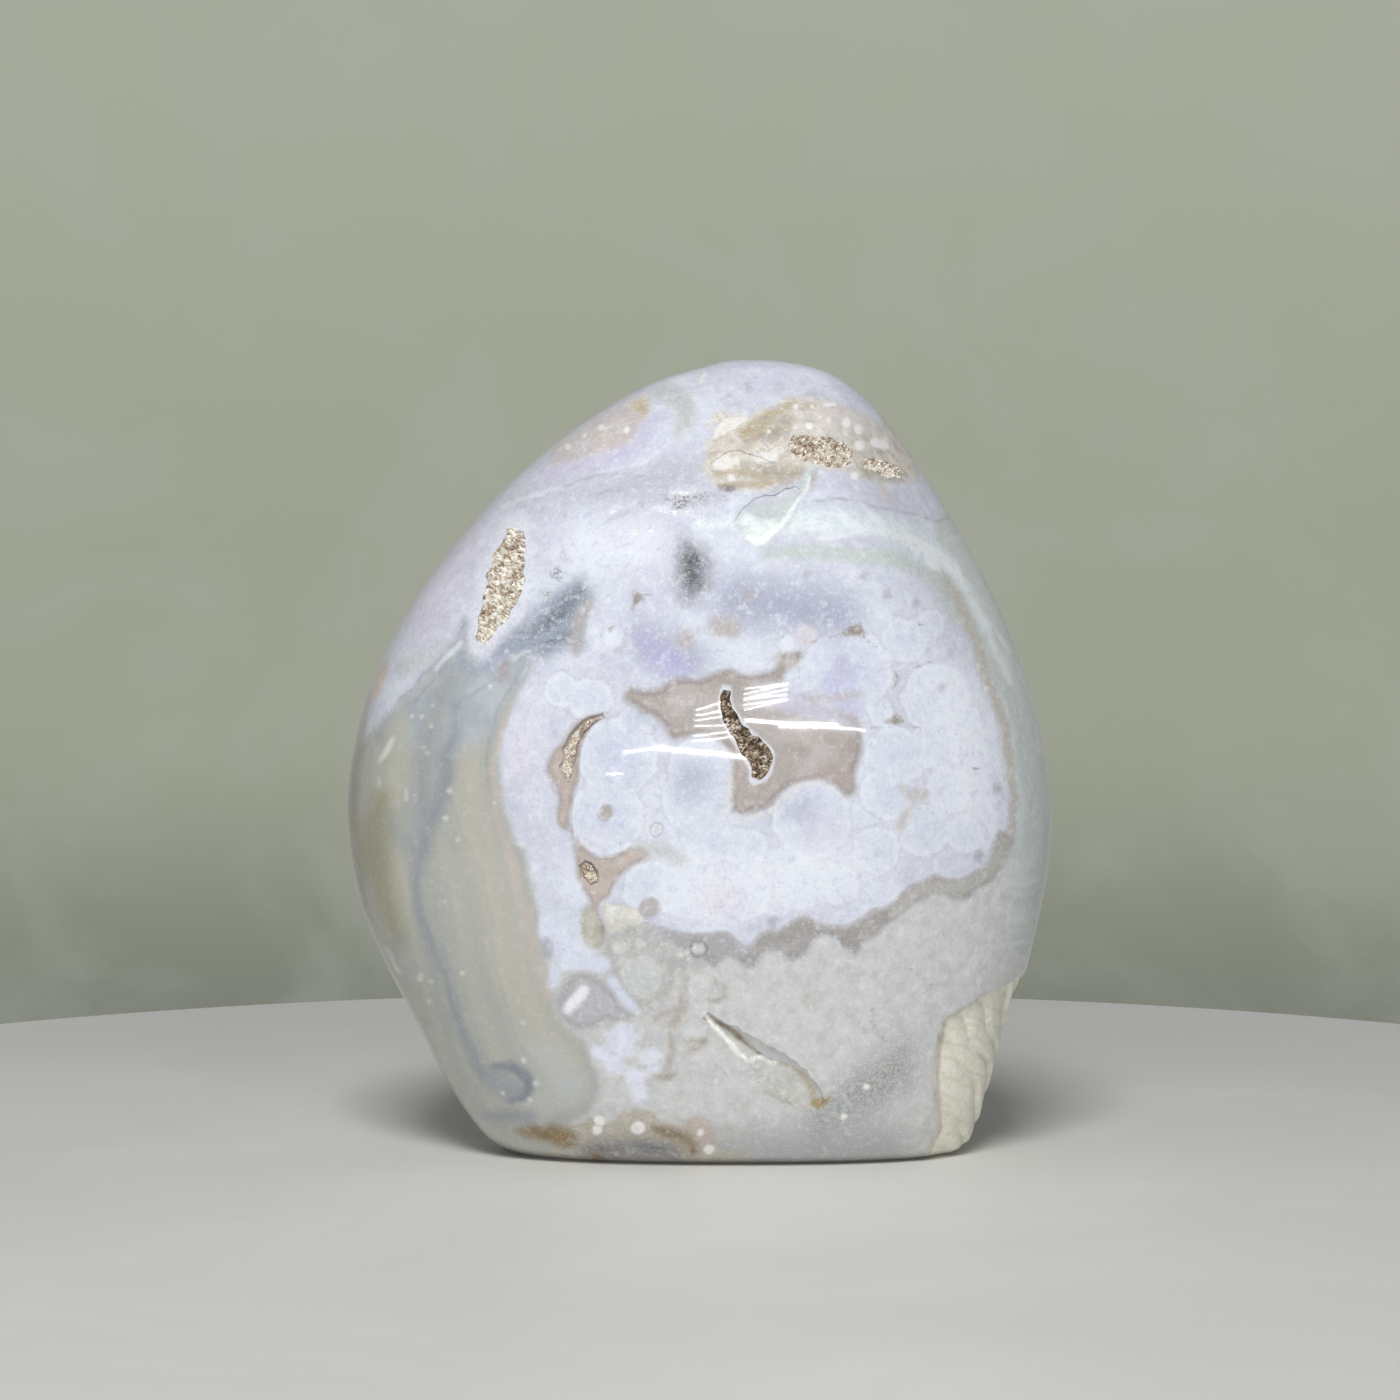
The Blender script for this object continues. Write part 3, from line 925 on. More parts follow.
                              ((700, 524, 1), (733, 526, 1.6))), (243, 247, 250), soft=4, wobble=3),
    Layer("crown_tan", (Patch(CROWN_TAN, steps=3),), (218, 212, 200), (186, 175, 156), Grain.HAZE, soft=10,
          wobble=6, polish=Polish.DULL),
    Layer("crown_shade", brush(((760, 470, 6), (800, 474, 5)), ((770, 436, 8), (786, 422, 6)), ((812, 478, 4),),
                               ((866, 470, 5), (900, 476, 4)), ((745, 470, 4),)), (152, 143, 121), (186, 176, 156),
          Grain.HAZE, soft=14, wobble=7, opacity=0.85),
    Layer("crown_flakes", brush(((708, 425, 3), (722, 418, 6), (740, 417, 4)), ((724, 432, 5), (742, 426, 4)),
                                ((750, 452, 5), (768, 448, 6), (780, 452, 4)), ((812, 424, 4), (826, 432, 4)),
                                ((712, 462, 4), (722, 458, 6), (732, 466, 6), (726, 478, 5))), (236, 231, 219),
          (208, 198, 180), Grain.SPECKLE, soft=7, wobble=8, opacity=0.9, polish=Polish.CHALK),
    Layer("crown_olive", brush(((742, 432, 5), (757, 426, 6), (775, 412, 4), (795, 402, 2)),
                               ((722, 484, 3), (760, 484, 3), (800, 482, 3)), ((892, 432, 1), (906, 440, 2))),
          (172, 154, 112), soft=9, wobble=5, opacity=0.8),
    Layer("crown_blush", brush(((826, 414, 10), (868, 430, 8)),), (218, 207, 204), soft=14, opacity=0.7),
    Layer("break_olive", brush(((716, 470, 3), (738, 474, 3), (762, 474, 2)), ((748, 440, 4), (760, 436, 3))),
          (168, 152, 120), (190, 176, 148), Grain.HAZE, soft=6, wobble=4, opacity=0.85, polish=Polish.BROKEN),
    Layer("break_dark", brush(((719, 486, 2), (727, 489, 4), (734, 488, 2)),), (104, 90, 68), soft=4, wobble=3,
          opacity=0.85, polish=Polish.BROKEN),
    Layer("crown_crust", brush(((714, 438, 3), (728, 425, 6), (746, 417, 2)), ((716, 468, 4), (724, 463, 7),
                               (736, 461, 2)), ((731, 477, 4),), ((692, 396, 1), (697, 403, 1.6)),
                               ((705, 372, 1), (700, 384, 1)), ((758, 458, 4), (775, 454, 4)),
                               ((697, 419, 0.8), (709, 419, 0.8))), (238, 236, 228), soft=2.5, wobble=5,
          polish=Polish.CHALK),
    Layer("chip_face", (Patch(CHIP_EDGE, steps=3),), (206, 213, 212), (198, 203, 204), Grain.HAZE, soft=5,
          wobble=3, polish=Polish.DULL),
    Layer("chip_tip", brush(((748, 520, 7), (757, 532, 8), (772, 526, 5)),), (238, 246, 243), soft=12, wobble=4,
          polish=Polish.DULL),
    Layer("chip_top", brush(((752, 500, 4), (772, 494, 5), (796, 484, 5)),), (203, 204, 217), (190, 190, 199),
          Grain.HAZE, soft=10, wobble=4, opacity=0.9),
    Layer("chip_shade", strokes(1.0, ((818, 470), (815, 482), (811, 492), (800, 504), (795, 514), (787, 525),
                                      (775, 537), (760, 548))), (172, 170, 162), soft=3.5, wobble=3, opacity=0.5),
    Layer("chip_edge", brush(((810, 478, 0.6), (806, 490, 1), (796, 502, 1.4), (791, 512, 2), (783, 522, 2.4),
                              (772, 533, 3), (757, 541, 4), (748, 537, 3))), (248, 252, 250), soft=2.5,
          wobble=1.5, polish=Polish.CHALK),
    Layer("white_dots", dots((859.6, 445.6, 5.8), (847.6, 461.6, 5), (854.5, 476, 4.2), (858, 429, 5),
                             (845, 422, 5), (846, 433, 2), (768, 432, 2), (795, 428, 1.8), (782, 439, 1.6),
                             (809, 425, 4), (797, 406, 2), (812, 406, 2), (820, 416, 1.6), (828, 419, 2),
                             (793, 456, 2), (596, 1131, 5), (599, 1121, 6), (638, 1127, 7), (700.5, 1133, 3.5),
                             (709.5, 1149, 5), (979, 667, 2.2), (985.7, 688.5, 2.2), (627, 430, 3.4),
                             (568.6, 447, 3), (586, 434, 3), (601, 427, 3), (613, 512, 3), (619, 534, 3),
                             (635, 534, 3), (844, 1117, 3), (867, 1088, 3)) +
          brush(((875, 442, 4.4), (884, 446, 4.4)), ((836, 448, 2), (844, 448, 2)), ((824, 405, 1.6), (834, 405, 1.6))),
          (246, 243, 238), soft=1.8, wobble=1),
    Layer("left_flecks", brush(((394, 738, 1), (389, 747, 3), (380, 762, 1)), ((423, 747, 1), (428, 754, 1.2)),
                               ((406, 790, 1), (406, 800, 1.8)), ((380, 778, 0.8), (380, 786, 0.8)),
                               ((386, 948, 1), (400, 973, 2))) +
          dots((433, 705, 1.8), (411, 716, 2), (421, 718, 2), (430, 726, 2), (415, 795, 1.4), (449.5, 790, 2.6),
               (446, 819, 2.8), (458, 839, 2.4), (495, 804, 1.8), (461, 974, 2), (420, 978, 3), (431, 982, 2),
               (429, 1001, 2), (445, 902, 2), (524, 1060, 2), (535.5, 1083, 2.4), (529, 1099, 2),
               (502.5, 1093, 1.6), (524, 1023, 2)), (226, 226, 218), soft=3.5, wobble=1.5, opacity=0.9),
    Layer("split_plate", (Patch(((706, 1013), (728, 1030), (750, 1046), (766, 1058), (790, 1067), (806, 1076),
                                 (817, 1092), (816, 1106), (800, 1106), (780, 1101), (764, 1092), (757, 1080),
                                 (748, 1062), (732, 1046), (716, 1030))),), (199, 199, 193), (192, 191, 184),
          soft=2, wobble=2, polish=Polish.DULL),
    Layer("split_tan", brush(((800, 1074, 2), (812, 1088, 4), (814, 1098, 4)), ((764, 1093, 0.6), (784, 1102, 0.8),
                              (808, 1108, 1.2)), ((778, 1064, 1), (792, 1068, 1.4), (806, 1077, 1.4))),
          (176, 163, 138), soft=4, wobble=3, opacity=0.8),
    Layer("split_ochre", brush(((814, 1104, 3), (822, 1103, 4), (830, 1098, 2)),), (160, 138, 88), (140, 122, 84),
          Grain.HAZE, soft=5, wobble=4, opacity=0.9),
    Layer("split_wedge", brush(((707, 1012, 0.4), (720, 1022, 2), (734, 1032, 2.8), (748, 1043, 2), (764, 1056, 1),
                                (778, 1062, 0.8), (790, 1067, 0.6)),), (126, 112, 88), (150, 138, 112), Grain.HAZE,
          soft=2.5, wobble=2, polish=Polish.BROKEN),
    Layer("split_lip", brush(((705, 1012, 1), (713, 1025, 2.4), (727, 1040, 2.8), (740, 1053, 2.4), (749, 1063, 1.4)),
                             ((750, 1064, 1), (753, 1058, 1.8), (761, 1056, 1.6), (768, 1061, 1.2),
                              (778, 1063, 0.8))), (246, 245, 240), soft=2, wobble=2.5, polish=Polish.CHALK),
    Layer("split_specks", brush(((750, 1068, 0.8), (757, 1080, 1.2), (761, 1085, 0.6)),), (140, 138, 130),
          (236, 236, 230), Grain.SPECKLE, soft=2.5, wobble=3, opacity=0.8),
]

FLOWERS = [
    (847, 673, 45), (617, 757, 41), (606, 818, 38), (812, 820, 40), (895, 757, 31), (888, 792, 28),
    (936, 698, 35), (650, 888, 28), (703, 770, 35), (690, 800, 30), (716, 796, 22), (707, 838, 26),
    (746, 848, 22), (796, 678, 20), (935, 745, 26), (950, 790, 24), (925, 830, 26), (876, 850, 24),
    (965, 835, 20), (905, 640, 24), (930, 625, 16), (640, 720, 18), (590, 700, 22), (560, 690, 18),
    (690, 890, 30), (745, 895, 26), (800, 885, 26), (838, 884, 22), (880, 712, 14), (966, 720, 16),
]


@dataclass(frozen=True)
class Pattern:
    """Carries the marks through the stone and measures them at its points."""

    view: PhotoView = PhotoView()
    fold: float = 110.0
    fold_scale: float = 0.022
    fold_start: float = -6.0
    fold_end: float = 14.0
    sway: float = 2.2
    sway_scale: float = 0.4
    banding_reach: float = 220.0

    def pixels(self, points: np.ndarray) -> np.ndarray:
        """Photo pixels of the stone's points, folded more the further back they lie."""
        share = smooth_step(self.fold_start, self.fold_end, points[:, 1])[:, None]
        folded = noise_at(points, self.fold_scale)[:, :2] * self.fold * share
        swayed = noise_at(points + 31.0, self.sway_scale)[:, :2] * self.sway
        return self.view.pixels(points) + folded + swayed

    def fields(self, points: np.ndarray) -> dict[str, np.ndarray]:
        """Every layer's distance, the flowers' distances and the banding's, for the shader.

        Args:
            points: the stone's points in millimetres.

        Returns:
            One value for each point under each name.
        """
        pixels = self.pixels(points)
        made = {}
        for layer in LAYERS:
            made[layer.name] = np.min([mark.distance(pixels) for mark in layer.marks], axis=0)
        gaps = np.stack([np.hypot(*(pixels - flower[:2]).T) - flower[2] for flower in np.array(FLOWERS)])
        gaps.sort(axis=0)
        made["flower"] = np.minimum(gaps[0], FAR)
        made["flower_wall"] = np.minimum(gaps[1] - gaps[0], FAR)
        seams = [Stroke(tuple((x, y, 0.0) for x, y in STRIP_EDGE)), Stroke(RIGHT_LINE)]
        made["banding"] = np.min([seam.distance(pixels, self.banding_reach) for seam in seams], axis=0)
        return made


class NodeCanvas:
    """Lays a material's nodes in the order in which they feed one another."""

    def __init__(self, name: str) -> None:
        self.material = bpy.data.materials.new(name)
        self.material.use_nodes = True
        self.tree = self.material.node_tree
        self.tree.nodes.clear()
        self.place = self.node("ShaderNodeTexCoord").outputs["Object"]

    def node(self, kind: str, feeds: Optional[dict] = None, **settings: Any) -> bpy.types.Node:
        """Adds a node.

        Args:
            kind: the node's type.
            feeds: a socket or a value for each input, by its name or number.
            settings: the node's own options.

        Returns:
            The node.
        """
        made = self.tree.nodes.new(kind)
        for name, value in settings.items():
            setattr(made, name, value)
        for name, value in (feeds or {}).items():
            if isinstance(value, Socket):
                self.tree.links.new(value, made.inputs[name])
            else:
                made.inputs[name].default_value = value
        return made

    def math(self, operation: str, *values: Any, clamp: bool = False) -> Socket:
        """A sum, product or the like of two or three values."""
        return self.node("ShaderNodeMath", dict(enumerate(values)), operation=operation, use_clamp=clamp).outputs[0]

    def attribute(self, name: str) -> Socket:
        """A value that the mesh holds at its points."""
        return self.node("ShaderNodeAttribute", attribute_name=name).outputs["Fac"]

    def noise(self, size: float, detail: float = 4.0, rough: float = 0.55, warp: float = 0.0,
              place: Optional[Socket] = None) -> Socket:
        """Noise between 0 and 1, with features of about the given size in millimetres."""
        feeds = {"Vector": place or self.place, "Scale": 1 / (size * MM), "Detail": detail, "Roughness": rough,
                 "Distortion": warp}
        return self.node("ShaderNodeTexNoise", feeds).outputs[0]

    def cells(self, size: float, feature: str = "F1", spread: float = 1.0,
              place: Optional[Socket] = None) -> bpy.types.Node:
        """Cells of about the given size in millimetres."""
        feeds = {"Vector": place or self.place, "Scale": 1 / (size * MM), "Randomness": spread}
        return self.node("ShaderNodeTexVoronoi", feeds, feature=feature)

    def ramp(self, value: Socket, low: float, high: float, start: float = 0.0, end: float = 1.0) -> Socket:
        """Carries a value from one span to another with soft ends."""
        feeds = {"Value": value, "From Min": low, "From Max": high, "To Min": start, "To Max": end}
        return self.node("ShaderNodeMapRange", feeds, interpolation_type="SMOOTHSTEP").outputs[0]

    def mix(self, share: Any, first: Any, second: Any, blend: str = "MIX") -> Socket:
        """A colour between two, each given as a socket or out of 255."""
        pair = [value if isinstance(value, Socket) else srgb(value) for value in (first, second)]
        node = self.node("ShaderNodeMix", {0: share, 6: pair[0], 7: pair[1]}, data_type="RGBA", blend_type=blend)
        return node.outputs[2]

    def finish(self, surface: bpy.types.Node) -> bpy.types.Material:
        """Ends the material in a surface."""
        self.node("ShaderNodeOutputMaterial", {"Surface": surface.outputs[0]})
        return self.material


@dataclass(frozen=True)
class PolishedAgate:
    """Banded and flowered agate: lavender ground, the photo's layers, bare hollow walls and rind."""

    lilac: Colour = (205, 207, 222)
    milk: Colour = (222, 228, 240)
    mist: Colour = (210, 214, 226)
    petal: Colour = (218, 224, 237)
    heart: Colour = (203, 208, 232)
    wall: Colour = (192, 192, 202)
    orb: Colour = (234, 238, 247)
    frost: Colour = (242, 245, 252)
    dusk: Colour = (176, 180, 204)
    rind: Colour = (236, 232, 214)
    rind_pale: Colour = (246, 243, 230)
    rind_line: Colour = (172, 160, 132)
    broken: Colour = (214, 204, 190)
    broken_dark: Colour = (140, 118, 92)
    halo: Colour = (226, 228, 236)
    index: float = 1.54
    coat: float = 0.9
    specular: float = 0.25
    frosts: tuple = ((1.1, 0.48, 0.52, 0.42, 0.34), (0.42, 0.46, 0.54, 0.4, 0.32), (0.2, 0.46, 0.54, 0.38, 0.3))
    ripple_size: float = 1.5
    blur: float = 1.0
    streak_rate: float = 0.06
    streak_shift: float = 1.8

    def ground(self, canvas: NodeCanvas) -> Socket:
        """The milky lavender body with its clouds, orbs and fine rings."""
        cloud = canvas.noise(9.0, 5.0, 0.6, 0.6)
        colour = canvas.mix(canvas.ramp(cloud, 0.36, 0.66), self.lilac, self.milk)
        haze = canvas.noise(3.2, 5.0, 0.62)
        colour = canvas.mix(canvas.ramp(haze, 0.4, 0.72, 0.0, 0.6), colour, self.mist)
        orbs = canvas.cells(5.5).outputs["Distance"]
        return canvas.mix(canvas.ramp(orbs, 0.15, 0.5, 0.3, 0.0), colour, self.orb)

    def flowers(self, canvas: NodeCanvas, colour: Socket, ripple: Socket) -> Socket:
        """The round plumes round the middle, each paler at its edge and walled from the next."""
        reach = canvas.math("MULTIPLY_ADD", ripple, 12.0, canvas.attribute("flower"))
        wall = canvas.math("MULTIPLY_ADD", ripple, 7.0, canvas.attribute("flower_wall"))
        inside = canvas.ramp(reach, -3.0, 2.0, 0.8, 0.0)
        tone = canvas.mix(canvas.ramp(reach, -40.0, -10.0), self.heart, self.petal)
        tone = canvas.mix(canvas.ramp(reach, -9.0, -2.0, 0.0, 0.6), tone, self.orb)
        colour = canvas.mix(inside, colour, tone)
        rim = canvas.ramp(canvas.math("ABSOLUTE", canvas.math("SUBTRACT", reach, 0.6)), 0.2, 2.6, 0.3, 0.0)
        colour = canvas.mix(rim, colour, self.wall)
        seam = canvas.math("MULTIPLY", canvas.ramp(wall, 0.2, 3.4, 0.35, 0.0), inside)
        return canvas.mix(seam, colour, self.wall)

    def frosted(self, canvas: NodeCanvas, colour: Socket) -> Socket:
        """The colour with the fine white and violet grain, strongest in the flowered part."""
        share = canvas.attribute("frost")
        for size, low, high, white, dark in self.frosts:
            grain = canvas.noise(size, 3.0, 0.68, 0.3)
            pale = canvas.math("MULTIPLY", canvas.ramp(grain, high - 0.02, high + 0.2, 0.0, white), share)
            colour = canvas.mix(pale, colour, self.frost)
            deep = canvas.math("MULTIPLY", canvas.ramp(grain, low - 0.18, low, dark, 0.0), share)
            colour = canvas.mix(deep, colour, self.dusk)
        return colour

    def grains(self, canvas: NodeCanvas) -> dict[Grain, Socket]:
        """The textures that mottle the layers, each as a share of a layer's second colour."""
        shift = canvas.math("MULTIPLY", canvas.noise(14.0, 2.0), self.streak_shift)
        across = canvas.math("MULTIPLY_ADD", canvas.attribute("banding"), self.streak_rate, shift)
        feeds = {"W": across, "Scale": 1.0, "Detail": 2.0, "Roughness": 0.5}
        streak = canvas.node("ShaderNodeTexNoise", feeds, noise_dimensions="1D").outputs[0]
        return {
            Grain.CLOUD: canvas.ramp(canvas.noise(2.4, 4.0, 0.55), 0.38, 0.66),
            Grain.HAZE: canvas.ramp(canvas.noise(1.5, 6.0, 0.65), 0.4, 0.68),
            Grain.STREAK: canvas.ramp(streak, 0.25, 0.75),
            Grain.SPECKLE: canvas.ramp(canvas.noise(0.32, 3.0, 0.7), 0.45, 0.55),
            Grain.CELLS: canvas.ramp(canvas.cells(1.3).outputs["Distance"], 0.2, 0.6),
        }

    def layer(self, canvas: NodeCanvas, colour: Socket, layer: Layer, ripple: Socket, grains: dict) -> Socket:
        """The colour with one layer of the pattern laid over it."""
        edge = canvas.math("MULTIPLY_ADD", ripple, layer.wobble * 2.4, canvas.attribute(layer.name))
        half = layer.soft / 2 + self.blur
        share = canvas.ramp(edge, -half, half, layer.opacity, 0.0)
        tone: Any = layer.colour
        if layer.second:
            tone = canvas.mix(grains[layer.grain], layer.colour, layer.second)
        if layer.rim:
            tone = canvas.mix(canvas.ramp(edge, -layer.rim_width, -layer.rim_width / 3), tone, layer.rim)
        return canvas.mix(share, colour, tone)

    def bare(self, canvas: NodeCanvas, colour: Socket, ripple: Socket) -> Socket:
        """The colour with the rind, and the lined hollows' halos and walls, laid over it."""
        rind = canvas.attribute("rind")
        skin = canvas.mix(canvas.ramp(canvas.noise(2.2, 5.0, 0.6, 1.2), 0.4, 0.65), self.rind, self.rind_pale)
        ledges = canvas.math("SINE", canvas.math("MULTIPLY_ADD", canvas.attribute("terrace"), 12.6,
                                                 canvas.math("MULTIPLY", canvas.noise(5.0, 3.0), 7.0)))
        skin = canvas.mix(canvas.ramp(ledges, 0.4, 1.0, 0.0, 0.14), skin, self.rind_line)
        skin = canvas.mix(canvas.ramp(canvas.math("ABSOLUTE", canvas.math("SUBTRACT", rind, 0.45)), 0.05, 0.4,
                                      0.4, 0.0), skin, self.rind_line)
        colour = canvas.mix(canvas.ramp(rind, 0.0, 0.35), colour, skin)
        halo = canvas.math("MULTIPLY_ADD", ripple, 1.6, canvas.attribute("halo"))
        colour = canvas.mix(canvas.ramp(halo, 0.1, 1.1, 0.85, 0.0), colour, self.halo)
        deep = canvas.attribute("lined")
        crumbs = canvas.ramp(canvas.noise(0.45, 4.0, 0.7), 0.4, 0.62)
        wall = canvas.mix(crumbs, self.broken, self.halo)
        wall = canvas.mix(canvas.ramp(deep, 0.5, 2.4, 0.0, 0.8), wall, self.broken_dark)
        return canvas.mix(canvas.ramp(deep, 0.05, 0.25, 0.0, 0.9), colour, wall)

    def material(self) -> bpy.types.Material:
        """The stone's material."""
        canvas = NodeCanvas("polished_agate")
        ripple = canvas.math("SUBTRACT", canvas.noise(self.ripple_size, 5.0, 0.62), 0.5)
        grains = self.grains(canvas)
        colour = self.flowers(canvas, self.ground(canvas), ripple)
        for layer in LAYERS:
            colour = self.layer(canvas, colour, layer, ripple, grains)
        colour = self.bare(canvas, colour, ripple)
        colour = self.frosted(canvas, colour)
        raw = canvas.attribute("raw")
        smear = canvas.math("MULTIPLY", canvas.noise(6.0, 3.0), 0.05)
        rough = canvas.math("ADD", canvas.math("MULTIPLY_ADD", raw, 0.5, Polish.WHEEL.value - 0.02), smear)
        relief = canvas.math("MULTIPLY", canvas.noise(0.5, 4.0, 0.65), raw)
        bump = canvas.node("ShaderNodeBump", {"Strength": 0.6, "Distance": 0.25 * MM, "Height": relief})
        surface = canvas.node("ShaderNodeBsdfPrincipled", {
            "Base Color": colour, "Roughness": rough, "IOR": self.index, "Normal": bump.outputs[0],
            "Specular IOR Level": self.specular,
            "Coat Weight": canvas.math("MULTIPLY", canvas.math("SUBTRACT", 1.0, raw), self.coat),
            "Coat Roughness": 0.02,
        })
        return canvas.finish(surface)


@dataclass(frozen=True)
class QuartzDruse:
    """Clear to brown quartz crystals, toned by each one's own share."""

    deep: Colour = (84, 68, 56)
    gold: Colour = (174, 150, 126)
    beige: Colour = (220, 207, 187)
    white: Colour = (252, 249, 242)
    brown: Colour = (150, 120, 92)
    gloss: float = 0.05

    def material(self) -> bpy.types.Material:
        """The crystals' material."""
        canvas = NodeCanvas("quartz_druse")
        tone = canvas.attribute("tone")
        colour = canvas.mix(canvas.ramp(tone, 0.0, 0.35), self.deep, self.gold)
        colour = canvas.mix(canvas.ramp(tone, 0.3, 0.65), colour, self.beige)
        colour = canvas.mix(canvas.ramp(tone, 0.6, 1.0), colour, self.white)
        stain = canvas.noise(1.3, 4.0, 0.65)
        colour = canvas.mix(canvas.ramp(stain, 0.5, 0.68, 0.0, 0.65), colour, self.brown)
        surface = canvas.node("ShaderNodeBsdfPrincipled", {
            "Base Color": colour, "Roughness": self.gloss, "IOR": 1.544, "Coat Weight": 0.5, "Coat Roughness": 0.02,
        })
        return canvas.finish(surface)


@dataclass(frozen=True)
class Stone:
    """The dressed stone: its fine body with the hollows cut, the pattern's fields and its finish."""

    body: Body = Body()
    quarry: Quarry = Quarry()
    pattern: Pattern = Pattern()
    finish: PolishedAgate = PolishedAgate()
    sharp_angle: float = 38.0
    halo_reach: float = 4.0
    calm: dict = field(default_factory=lambda: {
        "left_zone": 0.25, "window": 0.55, "gap": 0.5, "tan_band": 0.6, "pale_zone": 0.65, "right_zone": 0.7,
    })

    def cut(self, stone: bpy.types.Object, tree: BVHTree) -> None:
        """Takes every hollow out of the stone."""
        cutters = [self.quarry.cutter(tree, hollow) for hollow in HOLLOWS]
        for cutter in cutters:
            step = stone.modifiers.new(cutter.name, "BOOLEAN")
            step.object, step.operation, step.solver = cutter, "DIFFERENCE", "MANIFOLD"
        settle(stone)
        for cutter in cutters:
            bpy.data.objects.remove(cutter)

    def raw(self, fields: dict, depth: np.ndarray, rind: np.ndarray) -> np.ndarray:
        """How far from polished each point is, 0 to 1, from the layers, the hollows and the rind."""
        made = np.maximum(smooth_step(0.03, 0.2, depth), smooth_step(0.0, 0.4, rind) * 0.7)
        for layer in LAYERS:
            if layer.polish:
                share = (layer.polish.value - Polish.WHEEL.value) / (Polish.CHALK.value - Polish.WHEEL.value)
                made = np.maximum(made, smooth_step(2.0, -2.0, fields[layer.name]) * share)
        return made

    def linings(self, points: np.ndarray) -> tuple[np.ndarray, np.ndarray]:
        """The halos round lined hollows.

        Args:
            points: the stone's points in millimetres.

        Returns:
            The distance from the nearest lined hollow, in widths of its halo, and whether a point
            is nearer to it than to any bare hollow.
        """
        spots = points[:, [0, 2]]
        halo, lined, bare = np.full((3, len(points)), FAR)
        for hollow in HOLLOWS:
            gap = Stroke(tuple(hollow.middle)).distance(spots, self.halo_reach)
            if hollow.halo:
                lined = np.minimum(lined, gap)
                halo = np.minimum(halo, gap / hollow.halo)
            else:
                bare = np.minimum(bare, gap)
        halo[points[:, 1] > 0] = FAR
        return halo, lined < bare

    def frosting(self, fields: dict) -> np.ndarray:
        """How strong the fine grain is at each point, weaker outside the flowered part."""
        made = np.ones(len(fields["halo"]))
        for name, share in self.calm.items():
            made = np.minimum(made, 1 - (1 - share) * smooth_step(10.0, -10.0, fields[name]))
        return made

    def measure(self, stone: bpy.types.Object, tree: BVHTree) -> None:
        """Stores the pattern's fields, the hollows' depth and the rind at the stone's points."""
        mesh = stone.data
        flat = np.empty(len(mesh.vertices) * 3)
        mesh.vertices.foreach_get("co", flat)
        points = flat.reshape(-1, 3) / MM
        fields = self.pattern.fields(points)
        depth = np.array([tree.find_nearest(Vector(point) * MM)[3] for point in points]) / MM
        fields["halo"], lined = self.linings(points)
        fields["lined"] = depth * lined
        fields["frost"] = self.frosting(fields)
        fields["rind"] = self.body.rind_share(points)
        fields["terrace"] = (points[:, 2] + self.body.terrace_lean * points[:, 0]) / self.body.terrace_pitch
        fields["raw"] = self.raw(fields, depth, fields["rind"])
        for name, values in fields.items():
            held = mesh.attributes.new(name, "FLOAT", "POINT")
            held.data.foreach_set("value", values.astype(np.float32))

    def build(self) -> tuple[bpy.types.Object, BVHTree]:
        """Makes the stone.

        Returns:
            The stone and the tree of its face before the hollows, for what grows in them.
        """
        mesh = self.body.mesh()
        stone = bpy.data.objects.new("polished_stone", mesh)
        bpy.context.scene.collection.objects.link(stone)
        tree = BVHTree.FromObject(stone, bpy.context.evaluated_depsgraph_get())
        self.cut(stone, tree)
        self.measure(stone, tree)
        stone.data.materials.clear()
        stone.data.materials.append(self.finish.material())
        stone.data.shade_smooth()
        stone.data.set_sharp_from_angle(angle=math.radians(self.sharp_angle))
        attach(stone, "root")
        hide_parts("stone")
        return stone, tree


